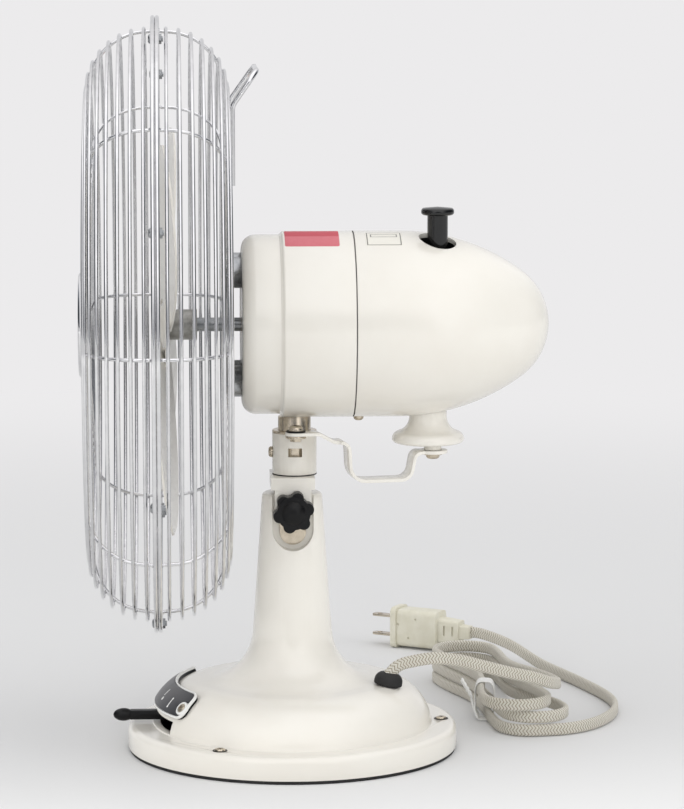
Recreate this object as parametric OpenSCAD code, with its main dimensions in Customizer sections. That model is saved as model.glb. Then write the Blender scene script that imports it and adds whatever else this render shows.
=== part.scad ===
// Oscillating table fan: cream cast base and motor head, chrome wire guard, flat braided cord.
// Millimetres, +Z up, origin on the floor under the base, the air leaves towards -Y.

/* [Base] */
// Outer radius of the base flange
flange_r = 96.2; // [90:0.2:104]
// Height of the flange top above the floor
flange_top = 15.5; // [13:0.5:18]
// Rounding of the flange's top edge
flange_round = 4; // [2:0.5:6]
// Height of the rubber foot pad that shows under the flange
foot_h = 2; // [1:0.5:4]
// Wall of the base casting
base_wall = 4; // [3:0.5:6]
// Radius at which the dome's crown turns into the column's cove
crown_r = 53; // [50:0.5:56]
// Height of that turning point
crown_z = 41; // [38:0.5:44]
// Radius of the dome's arc
dome_arc = 29; // [27:0.5:31]
// Radius of the cove between dome and column
cove_arc = 30; // [28:0.5:31]
// Radius of the column at its top
column_top_r = 17.6; // [16.5:0.1:19]
// Height of the column's top
column_top = 151.4; // [148:0.2:155]
// Radius of the hollow inside the column
column_bore_r = 9; // [6:0.5:11]
// Radius of the circle of flange screws
flange_screw_ring = 87.5; // [86:0.5:89]

/* [Tilt joint] */
// Height of the tilt axis
tilt_z = 143; // [141.8:0.2:144.4]
// Thickness of the column's web between the tilt plates
web_t = 22.4; // [20:0.2:25]
// Half width of the U-shaped recess in the column
recess_half = 11.9; // [11:0.1:13]
// Height of the middle of the recess's round bottom
recess_z = 131.5; // [129:0.5:134]
// Thickness of the nickel tilt plates
tilt_plate_t = 2; // [1.5:0.1:3]
// Radius of a tilt plate's round end
tongue_r = 7.6; // [6:0.2:9]
// Drop of that round end's centre below the tilt axis
tongue_drop = 13; // [11:0.5:14]
// Thickness of the tilt block's cheeks
cheek_t = 4.4; // [3:0.2:6]
// Height of the tilt block's underside
block_bottom = 155; // [154.6:0.2:156]
// Diameter of the tilt bolt
tilt_bolt_d = 8; // [6:0.5:9]
// Radius over the lobes of the tilt knob
knob_r = 12; // [11:0.2:14]
// Thickness of the tilt knob
knob_t = 10; // [8:0.5:13]

/* [Pivot and linkage] */
// How far the swing axis sits behind the column's axis
pivot_back = 1.4; // [0:0.1:3]
// Height of the collar's bottom
collar_bottom = 162; // [160.8:0.2:163]
// Height of the collar's top
collar_top = 186.4; // [183:0.2:188]
// Outer radius of the collar
collar_r = 12.9; // [12.4:0.1:13.2]
// Diameter of the pivot post
post_d = 19; // [16:0.5:20]
// Thickness of the link's bracket on the collar
bracket_t = 1.6; // [1.2:0.1:2]
// Distance of the link's fixed pivot from the swing axis
link_pivot_x = 25; // [24.5:0.1:26]
// Thickness of the link strip
link_t = 1.8; // [1.4:0.1:2.2]
// Width of the link strip beside the post
link_w = 12.6; // [11:0.1:13]
// Width of the link strip along its dip
link_dip_w = 15; // [14:0.2:16]
// Distance of the crank's axis behind the swing axis
crank_back = 77.8; // [76:0.2:79]
// Radius of the crank pin's circle
crank_e = 12; // [11:0.2:13]
// Radius of the crank disc
crank_r = 21; // [20:0.2:23]
// Height of the crank disc's underside
crank_bottom = 180; // [179:0.2:181]
// Height of the link's end under the crank disc
link_end_z = 176.4; // [175.6:0.2:176.8]
// Height of the bottom of the link's dip
link_dip_z = 161; // [158:0.2:163]
// Diameter of the link's two screws
link_screw_d = 4; // [3:0.5:5]
// Room round the crank screw in the link
link_slack = 3; // [2.9:0.1:3.2]

/* [Motor head] */
// Height of the fan axis
axis_z = 249.6; // [246:0.2:254]
// Front face of the front bell, ahead of the column's axis
bell_face = 29.3; // [28:0.1:31]
// Rear edge of the front bell, ahead of the column's axis
bell_edge = 6.4; // [4:0.2:9]
// Step from the motor shell in to the front bell
bell_step = 1.9; // [1.2:0.1:2.1]
// Rounding of the bell's front edge
bell_round = 8; // [5:0.5:12]
// Radius of the motor shell and rear cover
shell_r = 53.8; // [53.2:0.1:54.6]
// Wall of the head's shells
shell_wall = 2.5; // [2.2:0.1:2.8]
// Seam between motor shell and rear cover, behind the column's axis
seam_back = 35.2; // [34:0.2:38]
// Where the rear cover starts to taper
taper_back = 62.5; // [58:0.5:66]
// Tip of the rear cover, behind the column's axis
nose_back = 149; // [144:0.5:154]
// Radius of the rear cover's nose
nose_arc = 38; // [35:0.5:41]
// Radius of the well round the clutch knob
well_r = 10.8; // [10.2:0.1:11.6]
// Diameter of the clutch knob's cap
cap_d = 19; // [18:0.2:20]
// Diameter of the clutch knob's stem
stem_d = 11.8; // [10:0.1:13]
// Height of the clutch knob's top
knob_top = 318.4; // [316:0.2:321]
// Travel of the clutch knob
clutch_travel = 12; // [9:0.5:13]

/* [Rotor] */
// Diameter of the motor shaft
shaft_d = 8; // [7:0.5:9]
// Radius of the fan hub
hub_r = 8.8; // [8:0.1:10]
// Rear face of the fan hub, ahead of the column's axis
hub_back = 54.8; // [53:0.2:56]
// Front face of the fan hub, ahead of the column's axis
hub_front = 71.2; // [70:0.2:72.4]
// Number of blades
blades = 4; // [3:1:5]
// Radius of the blade tips
blade_r = 138; // [130:1:146]
// Chord of a blade at its widest
blade_chord = 76; // [66:1:86]
// Pitch of a blade at the tip
blade_pitch = 7; // [5:0.5:9]
// Sheet of the blades
blade_t = 1.2; // [0.8:0.1:1.6]

/* [Guard] */
// Distance of the rim plane ahead of the column's axis
rim_ahead = 78; // [77:0.2:79]
// Radius of the rim wires
rim_r = 176.5; // [174:0.5:180]
// Diameter of the rim wires
rim_wire = 2.5; // [2.2:0.1:3]
// Diameter of the ring wires
ring_wire = 2.2; // [1.8:0.1:2.6]
// Diameter of the ribs
rib_wire = 2; // [1.6:0.1:2.4]
// Spacing of the rings along the guard's side and face
ring_pitch = 7.3; // [6.8:0.1:9]
// Radius of the guard's side
side_r = 170.2; // [168:0.2:171]
// Radius of the guard's rounded corner
corner_arc = 35; // [33:0.5:38]
// Offset of the front corner's start from the rim plane
front_start = 4.4; // [4.4:0.2:6]
// Offset of the rear corner's start from the rim plane
rear_start = 6.2; // [4.8:0.2:6.4]
// Slope of the front guard's face
front_slope = 1.5; // [1:0.5:3]
// Number of ribs
ribs = 8; // [6:1:12]
// Number of rim fasteners
rim_screws_n = 7; // [5:1:9]
// Radius of the front badge
badge_r = 30.5; // [28:0.5:34]
// Half width of the carry handle
handle_half = 34; // [28:1:40]
// Diameter of the carry handle's wire
handle_wire = 3; // [2.4:0.2:4]

/* [Switch and cord] */
// Half angle of the switch plate on the dome
plate_half = 36; // [35:1:40]
// Height of the switch lever's middle
lever_z = 20; // [19.6:0.2:20.6]
// Distance of the lever's axis ahead of the column's axis
lever_axis = 42; // [38:1:46]
// Distance of the lever's tip ahead of the column's axis
lever_tip = 105; // [100:1:110]
// Width of the flat cord
cord_w = 7.3; // [6.6:0.1:8]
// Thickness of the flat cord
cord_t = 3.7; // [3:0.1:3.8]
// Turns of the cord in its hank
hank_turns = 3; // [2:1:4]
// Spacing of the plug's blades
pin_pitch = 12.7; // [12:0.1:13]

/* [Hidden] */
$fn = 64;
// Running clearance of a shaft in its bore, and the gap left between loose neighbours
fit = 0.05;
gap = 0.3;
// Depth to which welded wires sink into each other
weld = 0.3;
cream = [0.95, 0.94, 0.89];
chrome = [0.78, 0.79, 0.81];
nickel = [0.72, 0.70, 0.66];
black = [0.09, 0.09, 0.09];

// Points of an arc about c, from angle a0 to angle a1
function arc(c, r, a0, a1, n = 10) = [for (i = [0:n])
    let (a = a0 + (a1 - a0) * i / n) c + r * [cos(a), sin(a)]];
function unit(v) = v / norm(v);
function reversed(p) = [for (i = [len(p) - 1:-1:0]) p[i]];
// Outline of a rectangle with rounded corners, centred
function round_rect(w, h, r) = concat(
    arc([w / 2 - r, h / 2 - r], r, 0, 90, 4), arc([r - w / 2, h / 2 - r], r, 90, 180, 4),
    arc([r - w / 2, r - h / 2], r, 180, 270, 4), arc([w / 2 - r, r - h / 2], r, 270, 360, 4));
// Corner i of a polyline rounded with radius r
function bend(p, i, r) =
    let (a = unit(p[i - 1] - p[i]), b = unit(p[i + 1] - p[i]), half = acos(a * b) / 2,
         c = p[i] + unit(a + b) * r / sin(half),
         f = p[i] + a * r / tan(half), g = p[i] + b * r / tan(half),
         t0 = atan2(f[1] - c[1], f[0] - c[0]), t1 = atan2(g[1] - c[1], g[0] - c[0]),
         d = (t1 - t0 + 540) % 360 - 180)
    arc(c, r, t0, t0 + d, 5);
// Polyline with its corners rounded by a list of radii; its ends stay
function bent_path(p, r) = concat([p[0]],
    [for (i = [1:len(p) - 2]) each bend(p, i, r[i - 1])], [p[len(p) - 1]]);
// Outline of a strip of thickness t along a path
function strip(p, t) =
    let (n = len(p),
         side = [for (i = [0:n - 1])
             let (d = unit(p[min(i + 1, n - 1)] - p[max(i - 1, 0)])) [-d[1], d[0]] * t / 2])
    concat([for (i = [0:n - 1]) p[i] + side[i]], [for (i = [n - 1:-1:0]) p[i] - side[i]]);

// Places a shape built along +Z on the fan axis, +Z pointing forward
module on_fan_axis() {
    translate([0, 0, axis_z]) rotate([90, 0, 0]) children();
}
// Places a shape on the base's dome: azimuth, angle on the dome's arc, distance from the arc's centre
module on_dome(azimuth, a, r) {
    rotate([0, 0, azimuth]) translate([crown_r + r * cos(a), 0, crown_z - dome_arc + r * sin(a)])
        rotate([0, 90 - a, 0]) children();
}
module tube(r_out, r_in, h) {
    difference() {
        cylinder(r = r_out, h = h);
        translate([0, 0, -1]) cylinder(r = r_in, h = h + 2);
    }
}
// Round wire between two points, with ball ends where asked
module wire(a, b, d, balls = false) {
    v = b - a;
    translate(a) rotate([0, acos(v[2] / norm(v)), atan2(v[1], v[0])]) cylinder(d = d, h = norm(v));
    if (balls) translate(b) sphere(d = d);
}

// Base

dome_z = crown_z - dome_arc;
cove_z = crown_z + cove_arc;
column_lean = atan((crown_r - cove_arc - column_top_r) / (column_top - cove_z));
dome_a0 = asin((flange_top - dome_z) / dome_arc);
inner_a0 = asin((flange_top - base_wall - dome_z) / (dome_arc - base_wall));
plate_z = foot_h + 1;
plate_t = 2;
flange_screw_d = 4;
flange_screw_az = [90, 210, 330];
// Angles on the dome's arc between which the switch bezel lies
bezel_a0 = 28;
bezel_a1 = 63;
bezel_t = 2.6;
inlay_t = 0.8;
inlay_gap = 0.1;
// Angle of white border left round the inlay
inlay_edge = 3;
slot_half = 28;
slot_h = 7.2;
gland_az = 71;
gland_a = 80;
gland_r = 8.3;
gland_h = 7;
gland_round = 5;
column_cavity_top = recess_z - recess_half - 10;
// Angle on the cove at which the inside narrows to the column's bore
cove_inner_end = 203;
top_round = 2.5;

module base_solid() {
    rotate_extrude() polygon(concat(
        [[0, foot_h], [flange_r, foot_h]],
        arc([flange_r - flange_round, flange_top - flange_round], flange_round, 0, 90, 6),
        arc([crown_r, dome_z], dome_arc, dome_a0, 90, 14),
        arc([crown_r, cove_z], cove_arc, 270, 180 + column_lean, 14),
        arc([column_top_r - top_round, column_top - top_round], top_round, 0, 90, 4),
        [[0, column_top]]));
}
module base_cavity() {
    rotate_extrude() polygon(concat(
        [[0, foot_h - 1], [flange_r - base_wall, foot_h - 1],
         [flange_r - base_wall, flange_top - base_wall]],
        arc([crown_r, dome_z], dome_arc - base_wall, inner_a0, 90, 10),
        arc([crown_r, cove_z], cove_arc + base_wall, 270, cove_inner_end, 8),
        [[column_bore_r, cove_z], [column_bore_r, column_cavity_top],
         [0, column_cavity_top + column_bore_r / 2]]));
}
// Bore for the tilt bolt, through everything it crosses
module tilt_bore() {
    translate([0, 0, tilt_z]) rotate([0, 90, 0])
        cylinder(d = tilt_bolt_d + 2 * fit, h = flange_r, center = true);
}
module base_shell() {
    color(cream) difference() {
        base_solid();
        base_cavity();
        for (s = [-1, 1]) {
            translate([s * (web_t / 2 + flange_r), 0, recess_z]) rotate([0, 90, 0])
                cylinder(r = recess_half, h = 2 * flange_r, center = true);
            translate([s * (web_t / 2 + flange_r / 2), 0, recess_z + flange_r / 2])
                cube([flange_r, 2 * recess_half, flange_r], center = true);
        }
        tilt_bore();
        rotate([0, 0, 270 - slot_half]) rotate_extrude(angle = 2 * slot_half)
            translate([crown_r + dome_arc - 3 * base_wall, lever_z - slot_h / 2])
                square([5 * base_wall, slot_h]);
        for (az = flange_screw_az) rotate([0, 0, az]) translate([flange_screw_ring, 0, 0])
            cylinder(d = flange_screw_d + 2 * fit, h = flange_top + 1);
        on_dome(gland_az, gland_a, dome_arc - 2 * base_wall) cylinder(r = gland_r - 2, h = 4 * base_wall);
    }
}
module base_plate() {
    color(chrome) difference() {
        translate([0, 0, plate_z]) cylinder(r = flange_r - base_wall - gap, h = plate_t);
        for (az = flange_screw_az) rotate([0, 0, az]) translate([flange_screw_ring, 0, 0])
            cylinder(d = flange_screw_d + fit, h = flange_top);
    }
}
pad_inset = 0.6;
module foot_pad() {
    color(black) cylinder(r = flange_r - pad_inset, h = foot_h);
}
module flange_screws() {
    color(chrome) for (az = flange_screw_az) rotate([0, 0, az]) translate([flange_screw_ring, 0, 0]) {
        translate([0, 0, plate_z]) cylinder(d = flange_screw_d, h = flange_top - plate_z + 0.5);
        translate([0, 0, flange_top]) cylinder(r1 = 3.4, r2 = 2.4, h = 1.4);
    }
}

// Switch

bezel_screw_az = [270 - 33, 270 + 33];
bezel_screw_a = bezel_a0 + 12;
bezel_screw_d = 2.6;
// Layer of the bezel lying between two distances from the dome's arc centre
module dome_band(r0, r1, a0, a1, half) {
    rotate([0, 0, 270 - half]) rotate_extrude(angle = 2 * half) polygon(concat(
        arc([crown_r, dome_z], r0, a0, a1, 8), arc([crown_r, dome_z], r1, a1, a0, 8)));
}
boss_out = 4.2;
module at_bezel_screws(r) {
    for (az = bezel_screw_az) on_dome(az, bezel_screw_a, r) children();
}
module bezel_holes() {
    at_bezel_screws(dome_arc) cylinder(d = bezel_screw_d + fit, h = 3 * bezel_t);
}
module switch_bezel() {
    color("white") difference() {
        union() {
            dome_band(dome_arc + 0.1, dome_arc + bezel_t, bezel_a0, bezel_a1, plate_half);
            at_bezel_screws(dome_arc + bezel_t - 1) cylinder(r = boss_out, h = 1 + inlay_t);
        }
        bezel_holes();
    }
}
module switch_plate() {
    color("dimgray") difference() {
        dome_band(dome_arc + bezel_t + inlay_gap, dome_arc + bezel_t + inlay_t, bezel_a0 + inlay_edge,
            bezel_a1 - inlay_edge, plate_half - inlay_edge);
        at_bezel_screws(dome_arc) cylinder(r = boss_out + inlay_gap, h = 4 * bezel_t);
    }
}
module switch_screws() {
    color(chrome) at_bezel_screws(dome_arc + bezel_t + inlay_t) {
        translate([0, 0, -bezel_t - inlay_t + 0.4]) cylinder(d = bezel_screw_d, h = bezel_t + inlay_t);
        cylinder(r1 = 2.7, r2 = 1.8, h = 1.1);
    }
}
lever_hub_r = 6;
lever_hub_h = 6;
lever_w = 5.3;
lever_stub_d = 5;
paddle_d = 7.5;
paddle_l = 11;
module switch_box() {
    box_top = lever_z - lever_hub_h / 2 - gap;
    color("dimgray") translate([0, -lever_axis, plate_z + plate_t]) {
        h = box_top - plate_z - plate_t;
        linear_extrude(h) polygon(round_rect(36, 28, 3));
        cylinder(d = lever_stub_d, h = h + gap + lever_hub_h);
    }
}
module switch_lever() {
    color(black) translate([0, -lever_axis, lever_z]) difference() {
        union() {
            translate([0, 0, -lever_hub_h / 2]) cylinder(r = lever_hub_r, h = lever_hub_h);
            reach = lever_tip - lever_axis - paddle_l + 1;
            translate([-lever_w / 2, -reach, -lever_w / 2]) cube([lever_w, reach, lever_w]);
            translate([0, lever_axis - lever_tip + 0.8 * paddle_d, 0]) {
                scale([1, 1.6, 1]) sphere(d = paddle_d);
            }
        }
        cylinder(d = lever_stub_d + 2 * fit, h = 3 * lever_hub_h, center = true);
    }
}

// Cord

gland_top = dome_arc + gland_h;
gland_point = [(crown_r + gland_top * cos(gland_a)) * cos(gland_az),
    (crown_r + gland_top * cos(gland_a)) * sin(gland_az), dome_z + gland_top * sin(gland_a)];
// Middle and turn of the hank on the floor
hank_at = [-103, 129];
hank_turned = 11;
// Half length of the straight run between the folds, and the folds' radius
hank_run = 69;
hank_fold = 19;
// Share of its width that a turn keeps at the tied waist
hank_waist = 0.6;
// Each turn lies on the next, and its near fold is shifted a little to one side
hank_layer = cord_w + 0.6;
hank_shift = [0, -7, 4, 1];
hank_from = 45;
hank_rings = 32;
cord_floor = cord_w / 2 + 0.1;
plug_l = 33;
plug_w = 25;
plug_t = 17;
plug_lip = 1.2;
plug_z = plug_w / 2 + plug_lip + 0.1;
plug_at = [-279.5, 94, plug_z];
plug_turned = 240;
relief_l = 22;
plug_dir = [cos(plug_turned), sin(plug_turned), 0];
plug_end = plug_at - plug_dir * (plug_l / 2 + relief_l);
// The cord runs a little way into the plug's strain relief
cord_end = plug_end + plug_dir * 3;

function ease(t) = let (k = min(1, max(0, t))) k * k * (3 - 2 * k);
// Plan of one turn: round folds at both ends, and sides drawn in to the tied waist between them
function hank_turn(phase) =
    phase < 45 ? [hank_run, 0] + hank_fold * [cos(2 * phase), sin(2 * phase)]
    : phase < 135 ? let (u = hank_run * (90 - phase) / 45) [u, hank_fold * hank_side(u)]
    : -hank_turn(phase - 180);
function hank_side(u) = hank_waist + (1 - hank_waist) * pow(sin(90 * u / hank_run), 2);
// A turn steps down one layer on its first side
function hank_point(a) =
    let (p = hank_turn((a + 45) % 360 - 45), n = floor((a - hank_from) / 360),
         v = p[1] + hank_shift[floor((a + 180) / 360) % len(hank_shift)] * ease(p[0] / hank_run),
         level = hank_turns - n - ease((a - hank_from - 360 * n) / 90))
    [hank_at[0] + p[0] * cos(hank_turned) - v * sin(hank_turned),
     hank_at[1] + p[0] * sin(hank_turned) + v * cos(hank_turned), cord_floor + hank_layer * level];
hank_stations = hank_rings * (hank_turns - hank_from / 360);
hank_path = [for (i = [0:hank_stations])
    hank_point(hank_from + (360 * hank_turns - hank_from) * i / hank_stations)];
// Catmull-Rom curve through chosen points, n steps to a stretch
function smooth(p, n) = [for (i = [0:len(p) - 2], j = [0:n - 1])
    let (t = j / n, a = p[max(i - 1, 0)], b = p[i], c = p[i + 1], d = p[min(i + 2, len(p) - 1)])
    0.5 * (2 * b + (c - a) * t + (2 * a - 5 * b + 4 * c - d) * pow(t, 2)
        + (3 * b - 3 * c + d - a) * pow(t, 3))];
lead_path = smooth([gland_point - [0, 0.6, 1.6], gland_point + [-1, 4.4, 3.4], [16, 68, 53],
    [13, 82.5, 54.4], [7, 97.5, 51.6], [1, 112.5, 46.6], [-6, 129, 41], [-12, 142.5, 37],
    [-21, 153.5, 32], hank_path[0]], 3);
tail_path = concat(smooth([hank_path[len(hank_path) - 1], [-21, 165, cord_floor], [-33, 181, cord_floor],
    [-53, 193.5, cord_floor], [-78, 200.5, cord_floor], [-108, 199, cord_floor], [-152, 186.5, cord_floor],
    [-200, 168, cord_floor + 1], [-234, 151, cord_floor + 7], plug_end - plug_dir * 8, cord_end], 3),
    [cord_end]);
cord_path = concat(lead_path, hank_path, [for (i = [1:len(tail_path) - 1]) tail_path[i]]);
cord_dir = [for (i = [0:len(cord_path) - 1])
    unit(cord_path[min(i + 1, len(cord_path) - 1)] - cord_path[max(i - 1, 0)])];
// Six-sided section of the flat cord, standing on its edge
cord_section = [for (s = [[-0.5, -0.25], [0, -0.5], [0.5, -0.25], [0.5, 0.25], [0, 0.5], [-0.5, 0.25]])
    [s[0] * cord_t, s[1] * cord_w]];
// Points of the cord's section at a station
function cord_ring(i) = let (side = unit(cross(cord_dir[i], [0, 0, 1])), up = cross(side, cord_dir[i]))
    [for (s = cord_section) cord_path[i] + side * s[0] + up * s[1]];
// Distance of a point from a stretch of line
function off_line(p, a, b) = let (t = (p - a) * (b - a) / ((b - a) * (b - a)))
    norm(p - a - max(0, min(1, t)) * (b - a));
// Least gap of the cord to itself, from its points to its long edges on other stretches nearby
function cord_gap() = min([for (i = [0:len(cord_path) - 1], j = [0:len(cord_path) - 2])
    if (abs(i - j) > 6 && norm(cord_path[i] - cord_path[j]) < 3 * cord_w)
        let (a = cord_ring(j), b = cord_ring(j + 1))
        for (p = cord_ring(i), k = [0:len(a) - 1]) off_line(p, a[k], b[k])]);
echo(cord_gap_mm = cord_gap());  // cord_hank
// Tube of triangles along stations first..last of the cord
module sweep(first, last) {
    m = len(cord_section);
    points = [for (i = [first:last]) each cord_ring(i)];
    rings = last - first;
    polyhedron(points, concat(
        [for (i = [0:rings - 1], j = [0:m - 1]) each
            let (a = i * m + j, b = i * m + (j + 1) % m) [[a, b, a + m], [b, b + m, a + m]]],
        [for (j = [1:m - 2]) [0, j + 1, j]],
        [for (j = [1:m - 2]) [rings * m, rings * m + j, rings * m + j + 1]]), convexity = 8);
}
hank_first = len(lead_path);
hank_last = hank_first + len(hank_path) - 1;
module cord_lead() {
    color("gainsboro") sweep(0, hank_first);
}
module cord_hank() {
    color("gainsboro") sweep(hank_first, hank_last);
}
module cord_tail() {
    color("gainsboro") sweep(hank_last, len(cord_path) - 1);
}
// Twist tie round the strands on the hank's second side
tie_d = 1.6;
tie_a = 292.5;
tie_strands = [for (k = [0:hank_turns - 1]) hank_point(tie_a + 360 * k)];
tie_mid = (tie_strands[0] + tie_strands[hank_turns - 1]) / 2;
tie_spread = max([for (p = tie_strands) norm([p[0], p[1]] - [tie_mid[0], tie_mid[1]])]);
tie_half_w = tie_spread + cord_t / 2 + tie_d;
tie_half_h = (tie_strands[0][2] - tie_strands[hank_turns - 1][2]) / 2 + cord_w / 2 + tie_d;
module cord_tie() {
    color("white") translate([tie_mid[0], tie_mid[1], max(tie_mid[2], tie_half_h + tie_d / 2)])
        rotate([90, 0, hank_turned + 90]) difference() {
            linear_extrude(tie_d, center = true)
                polygon(round_rect(2 * tie_half_w, 2 * tie_half_h, tie_half_w / 2));
            linear_extrude(2 * tie_d, center = true) polygon(round_rect(
                2 * (tie_half_w - tie_d), 2 * (tie_half_h - tie_d), tie_half_w / 2 - tie_d));
        }
}
module cord_gland() {
    color(black) on_dome(gland_az, gland_a, dome_arc) {
        translate([0, 0, -base_wall]) cylinder(r = gland_r - 2 - fit, h = 2 * base_wall);
        rotate_extrude() polygon(concat([[0, 0.2], [gland_r, 0.2]],
            arc([gland_r - gland_round, gland_h - gland_round], gland_round, 0, 90, 6), [[0, gland_h]]));
    }
}
relief_ribs = 3;
relief_r = 6.4;
module plug_body() {
    color("ivory") translate(plug_at) rotate([0, 0, plug_turned]) {
        rotate([90, 0, 90]) {
            translate([0, 0, -plug_l / 2]) linear_extrude(plug_l) polygon(round_rect(plug_t, plug_w, 3.5));
            translate([0, 0, plug_l / 2 - 4])
                linear_extrude(4) polygon(round_rect(plug_t + 2 * plug_lip, plug_w + 2 * plug_lip, 4));
        }
        rotate([0, -90, 0]) translate([0, 0, plug_l / 2]) {
            cylinder(r1 = relief_r - 0.6, r2 = relief_r - 2.2, h = relief_l);
            for (i = [0:relief_ribs - 1])
                translate([0, 0, 3 + i * relief_l / relief_ribs])
                    cylinder(r1 = relief_r, r2 = relief_r - 1, h = 4);
        }
    }
}
pin_l = 17;
module plug_blades() {
    color(chrome) translate(plug_at) rotate([0, 0, plug_turned]) for (s = [-1, 1])
        translate([plug_l / 2 + pin_l / 2, 0, s * pin_pitch / 2]) cube([pin_l, 6.3, 1.5], center = true);
}

// Tilt joint

plate_x = web_t / 2 + 0.1;
cheek_x = plate_x + tilt_plate_t;
cheek_end = cheek_x + cheek_t;
cheek_r = recess_half - 1.3;
block_half = collar_r - 0.2;
bolt_head_r = 7;
module tilt_bolt() {
    color(nickel) translate([-cheek_end - 4, 0, tilt_z]) rotate([0, 90, 0]) {
        cylinder(d = tilt_bolt_d, h = 2 * cheek_end + 4 + knob_t - 1);
        cylinder(r = bolt_head_r, h = 4 - gap, $fn = 6);
    }
}
lobe_r = 3.7;
lobe_h = 2.3;
module tilt_knob() {
    color(black) translate([cheek_end + gap, 0, tilt_z]) rotate([0, 90, 0]) difference() {
        union() {
            cylinder(r = knob_r - lobe_h, h = knob_t);
            for (i = [0:5]) rotate(i * 60 + 44) translate([knob_r - lobe_r, 0, 0])
                cylinder(r = lobe_r, h = knob_t - 1);
            intersection() {
                translate([0, 0, knob_t - 7]) sphere(r = 10);
                translate([0, 0, knob_t - 0.5]) cylinder(r = 6.8, h = 10);
            }
        }
        translate([0, 0, -1]) cylinder(d = tilt_bolt_d + 2 * fit, h = knob_t + 0.5);
    }
}
module tilt_block() {
    color(cream) difference() {
        union() {
            translate([-cheek_end, -block_half, block_bottom])
                cube([2 * cheek_end, 2 * block_half, collar_bottom - block_bottom]);
            for (s = [-1, 1]) translate([s * (cheek_x + cheek_t / 2), 0, tilt_z]) {
                rotate([0, 90, 0]) cylinder(r = cheek_r, h = cheek_t, center = true);
                translate([0, 0, (collar_bottom - tilt_z) / 2])
                    cube([cheek_t, 2 * cheek_r, collar_bottom - tilt_z], center = true);
            }
        }
        tilt_bore();
        for (s = [-1, 1]) translate([s * (plate_x + tilt_plate_t / 2), 0, tilt_z])
            cube([tilt_plate_t + 2 * fit, 2 * tongue_r + 2 * fit, 2 * (collar_bottom - tilt_z) - 2],
                center = true);
    }
}
module tilt_plates() {
    color(nickel) for (s = [-1, 1]) translate([s * (plate_x + tilt_plate_t / 2), 0, tilt_z])
        rotate([0, 90, 0]) difference() {
            union() {
                translate([tongue_drop, 0, 0]) cylinder(r = tongue_r, h = tilt_plate_t, center = true);
                translate([(tongue_drop - collar_bottom + tilt_z + 1) / 2, 0, 0])
                    cube([tongue_drop + collar_bottom - tilt_z - 1, 2 * tongue_r, tilt_plate_t],
                        center = true);
            }
            cylinder(d = tilt_bolt_d + 2 * fit, h = 3 * tilt_plate_t, center = true);
        }
}

// Swing pivot and link

window_w = 8;
window_h = 5.2;
window_z = 176;
collar_screw_d = 4;
collar_screw_z = 175;
module at_pivot() {
    translate([0, pivot_back, 0]) children();
}
module pivot_collar() {
    color(cream) at_pivot() difference() {
        translate([0, 0, collar_bottom]) tube(collar_r, post_d / 2 + fit, collar_top - collar_bottom);
        translate([collar_r, 0, window_z]) cube([2 * collar_r, window_w, window_h], center = true);
        translate([0, -collar_r, collar_screw_z]) rotate([90, 0, 0])
            cylinder(d = collar_screw_d + fit, h = collar_r, center = true);
    }
}
module collar_screw() {
    color(nickel) at_pivot() translate([0, -post_d / 2 - gap, collar_screw_z]) rotate([90, 0, 0]) {
        cylinder(d = collar_screw_d, h = collar_r - post_d / 2);
        translate([0, 0, collar_r - post_d / 2]) cylinder(r1 = 3.2, r2 = 2.6, h = 2.4);
    }
}
bracket_top = collar_top + bracket_t;
ear_r = 6;
module link_bracket() {
    color(nickel) at_pivot() translate([0, 0, collar_top]) difference() {
        union() {
            cylinder(r = collar_r, h = bracket_t);
            translate([0, -ear_r, 0]) cube([link_pivot_x, 2 * ear_r, bracket_t]);
            translate([link_pivot_x, 0, 0]) cylinder(r = ear_r, h = bracket_t);
        }
        translate([0, 0, -1]) cylinder(d = post_d + 2 * fit, h = bracket_t + 2);
        translate([link_pivot_x, 0, -1]) cylinder(d = link_screw_d + fit, h = bracket_t + 2);
    }
}
link_top_z = bracket_top + 0.1 + link_t;
washer_t = 0.9;
module link_pivot_screw() {
    color(nickel) at_pivot() translate([link_pivot_x, 0, 0]) {
        translate([0, 0, collar_top - 1.8]) cylinder(d = link_screw_d, h = link_top_z - collar_top + 2.3);
        translate([0, 0, collar_top - 1.8]) cylinder(r = 3.6, h = 1.8, $fn = 6);
        translate([0, 0, link_top_z + 0.1]) cylinder(r = 5.4, h = washer_t);
        translate([0, 0, link_top_z + 0.1 + washer_t]) cylinder(r1 = 4.2, r2 = 3, h = 2.8);
    }
}
// Rest position of the link: perpendicular to the crank's arm at its pin
crank_y = pivot_back + crank_back;
link_span = norm([link_pivot_x, crank_back]);
link_l = sqrt(link_span * link_span - crank_e * crank_e);
link_slant = atan2(link_pivot_x, crank_back) - asin(crank_e / link_span);
pin_at = [link_pivot_x - link_l * sin(link_slant), pivot_back + link_l * cos(link_slant)];
link_end_r = 8.6;
link_bends = [5, 8, 5, 9, 7, 4];
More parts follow.
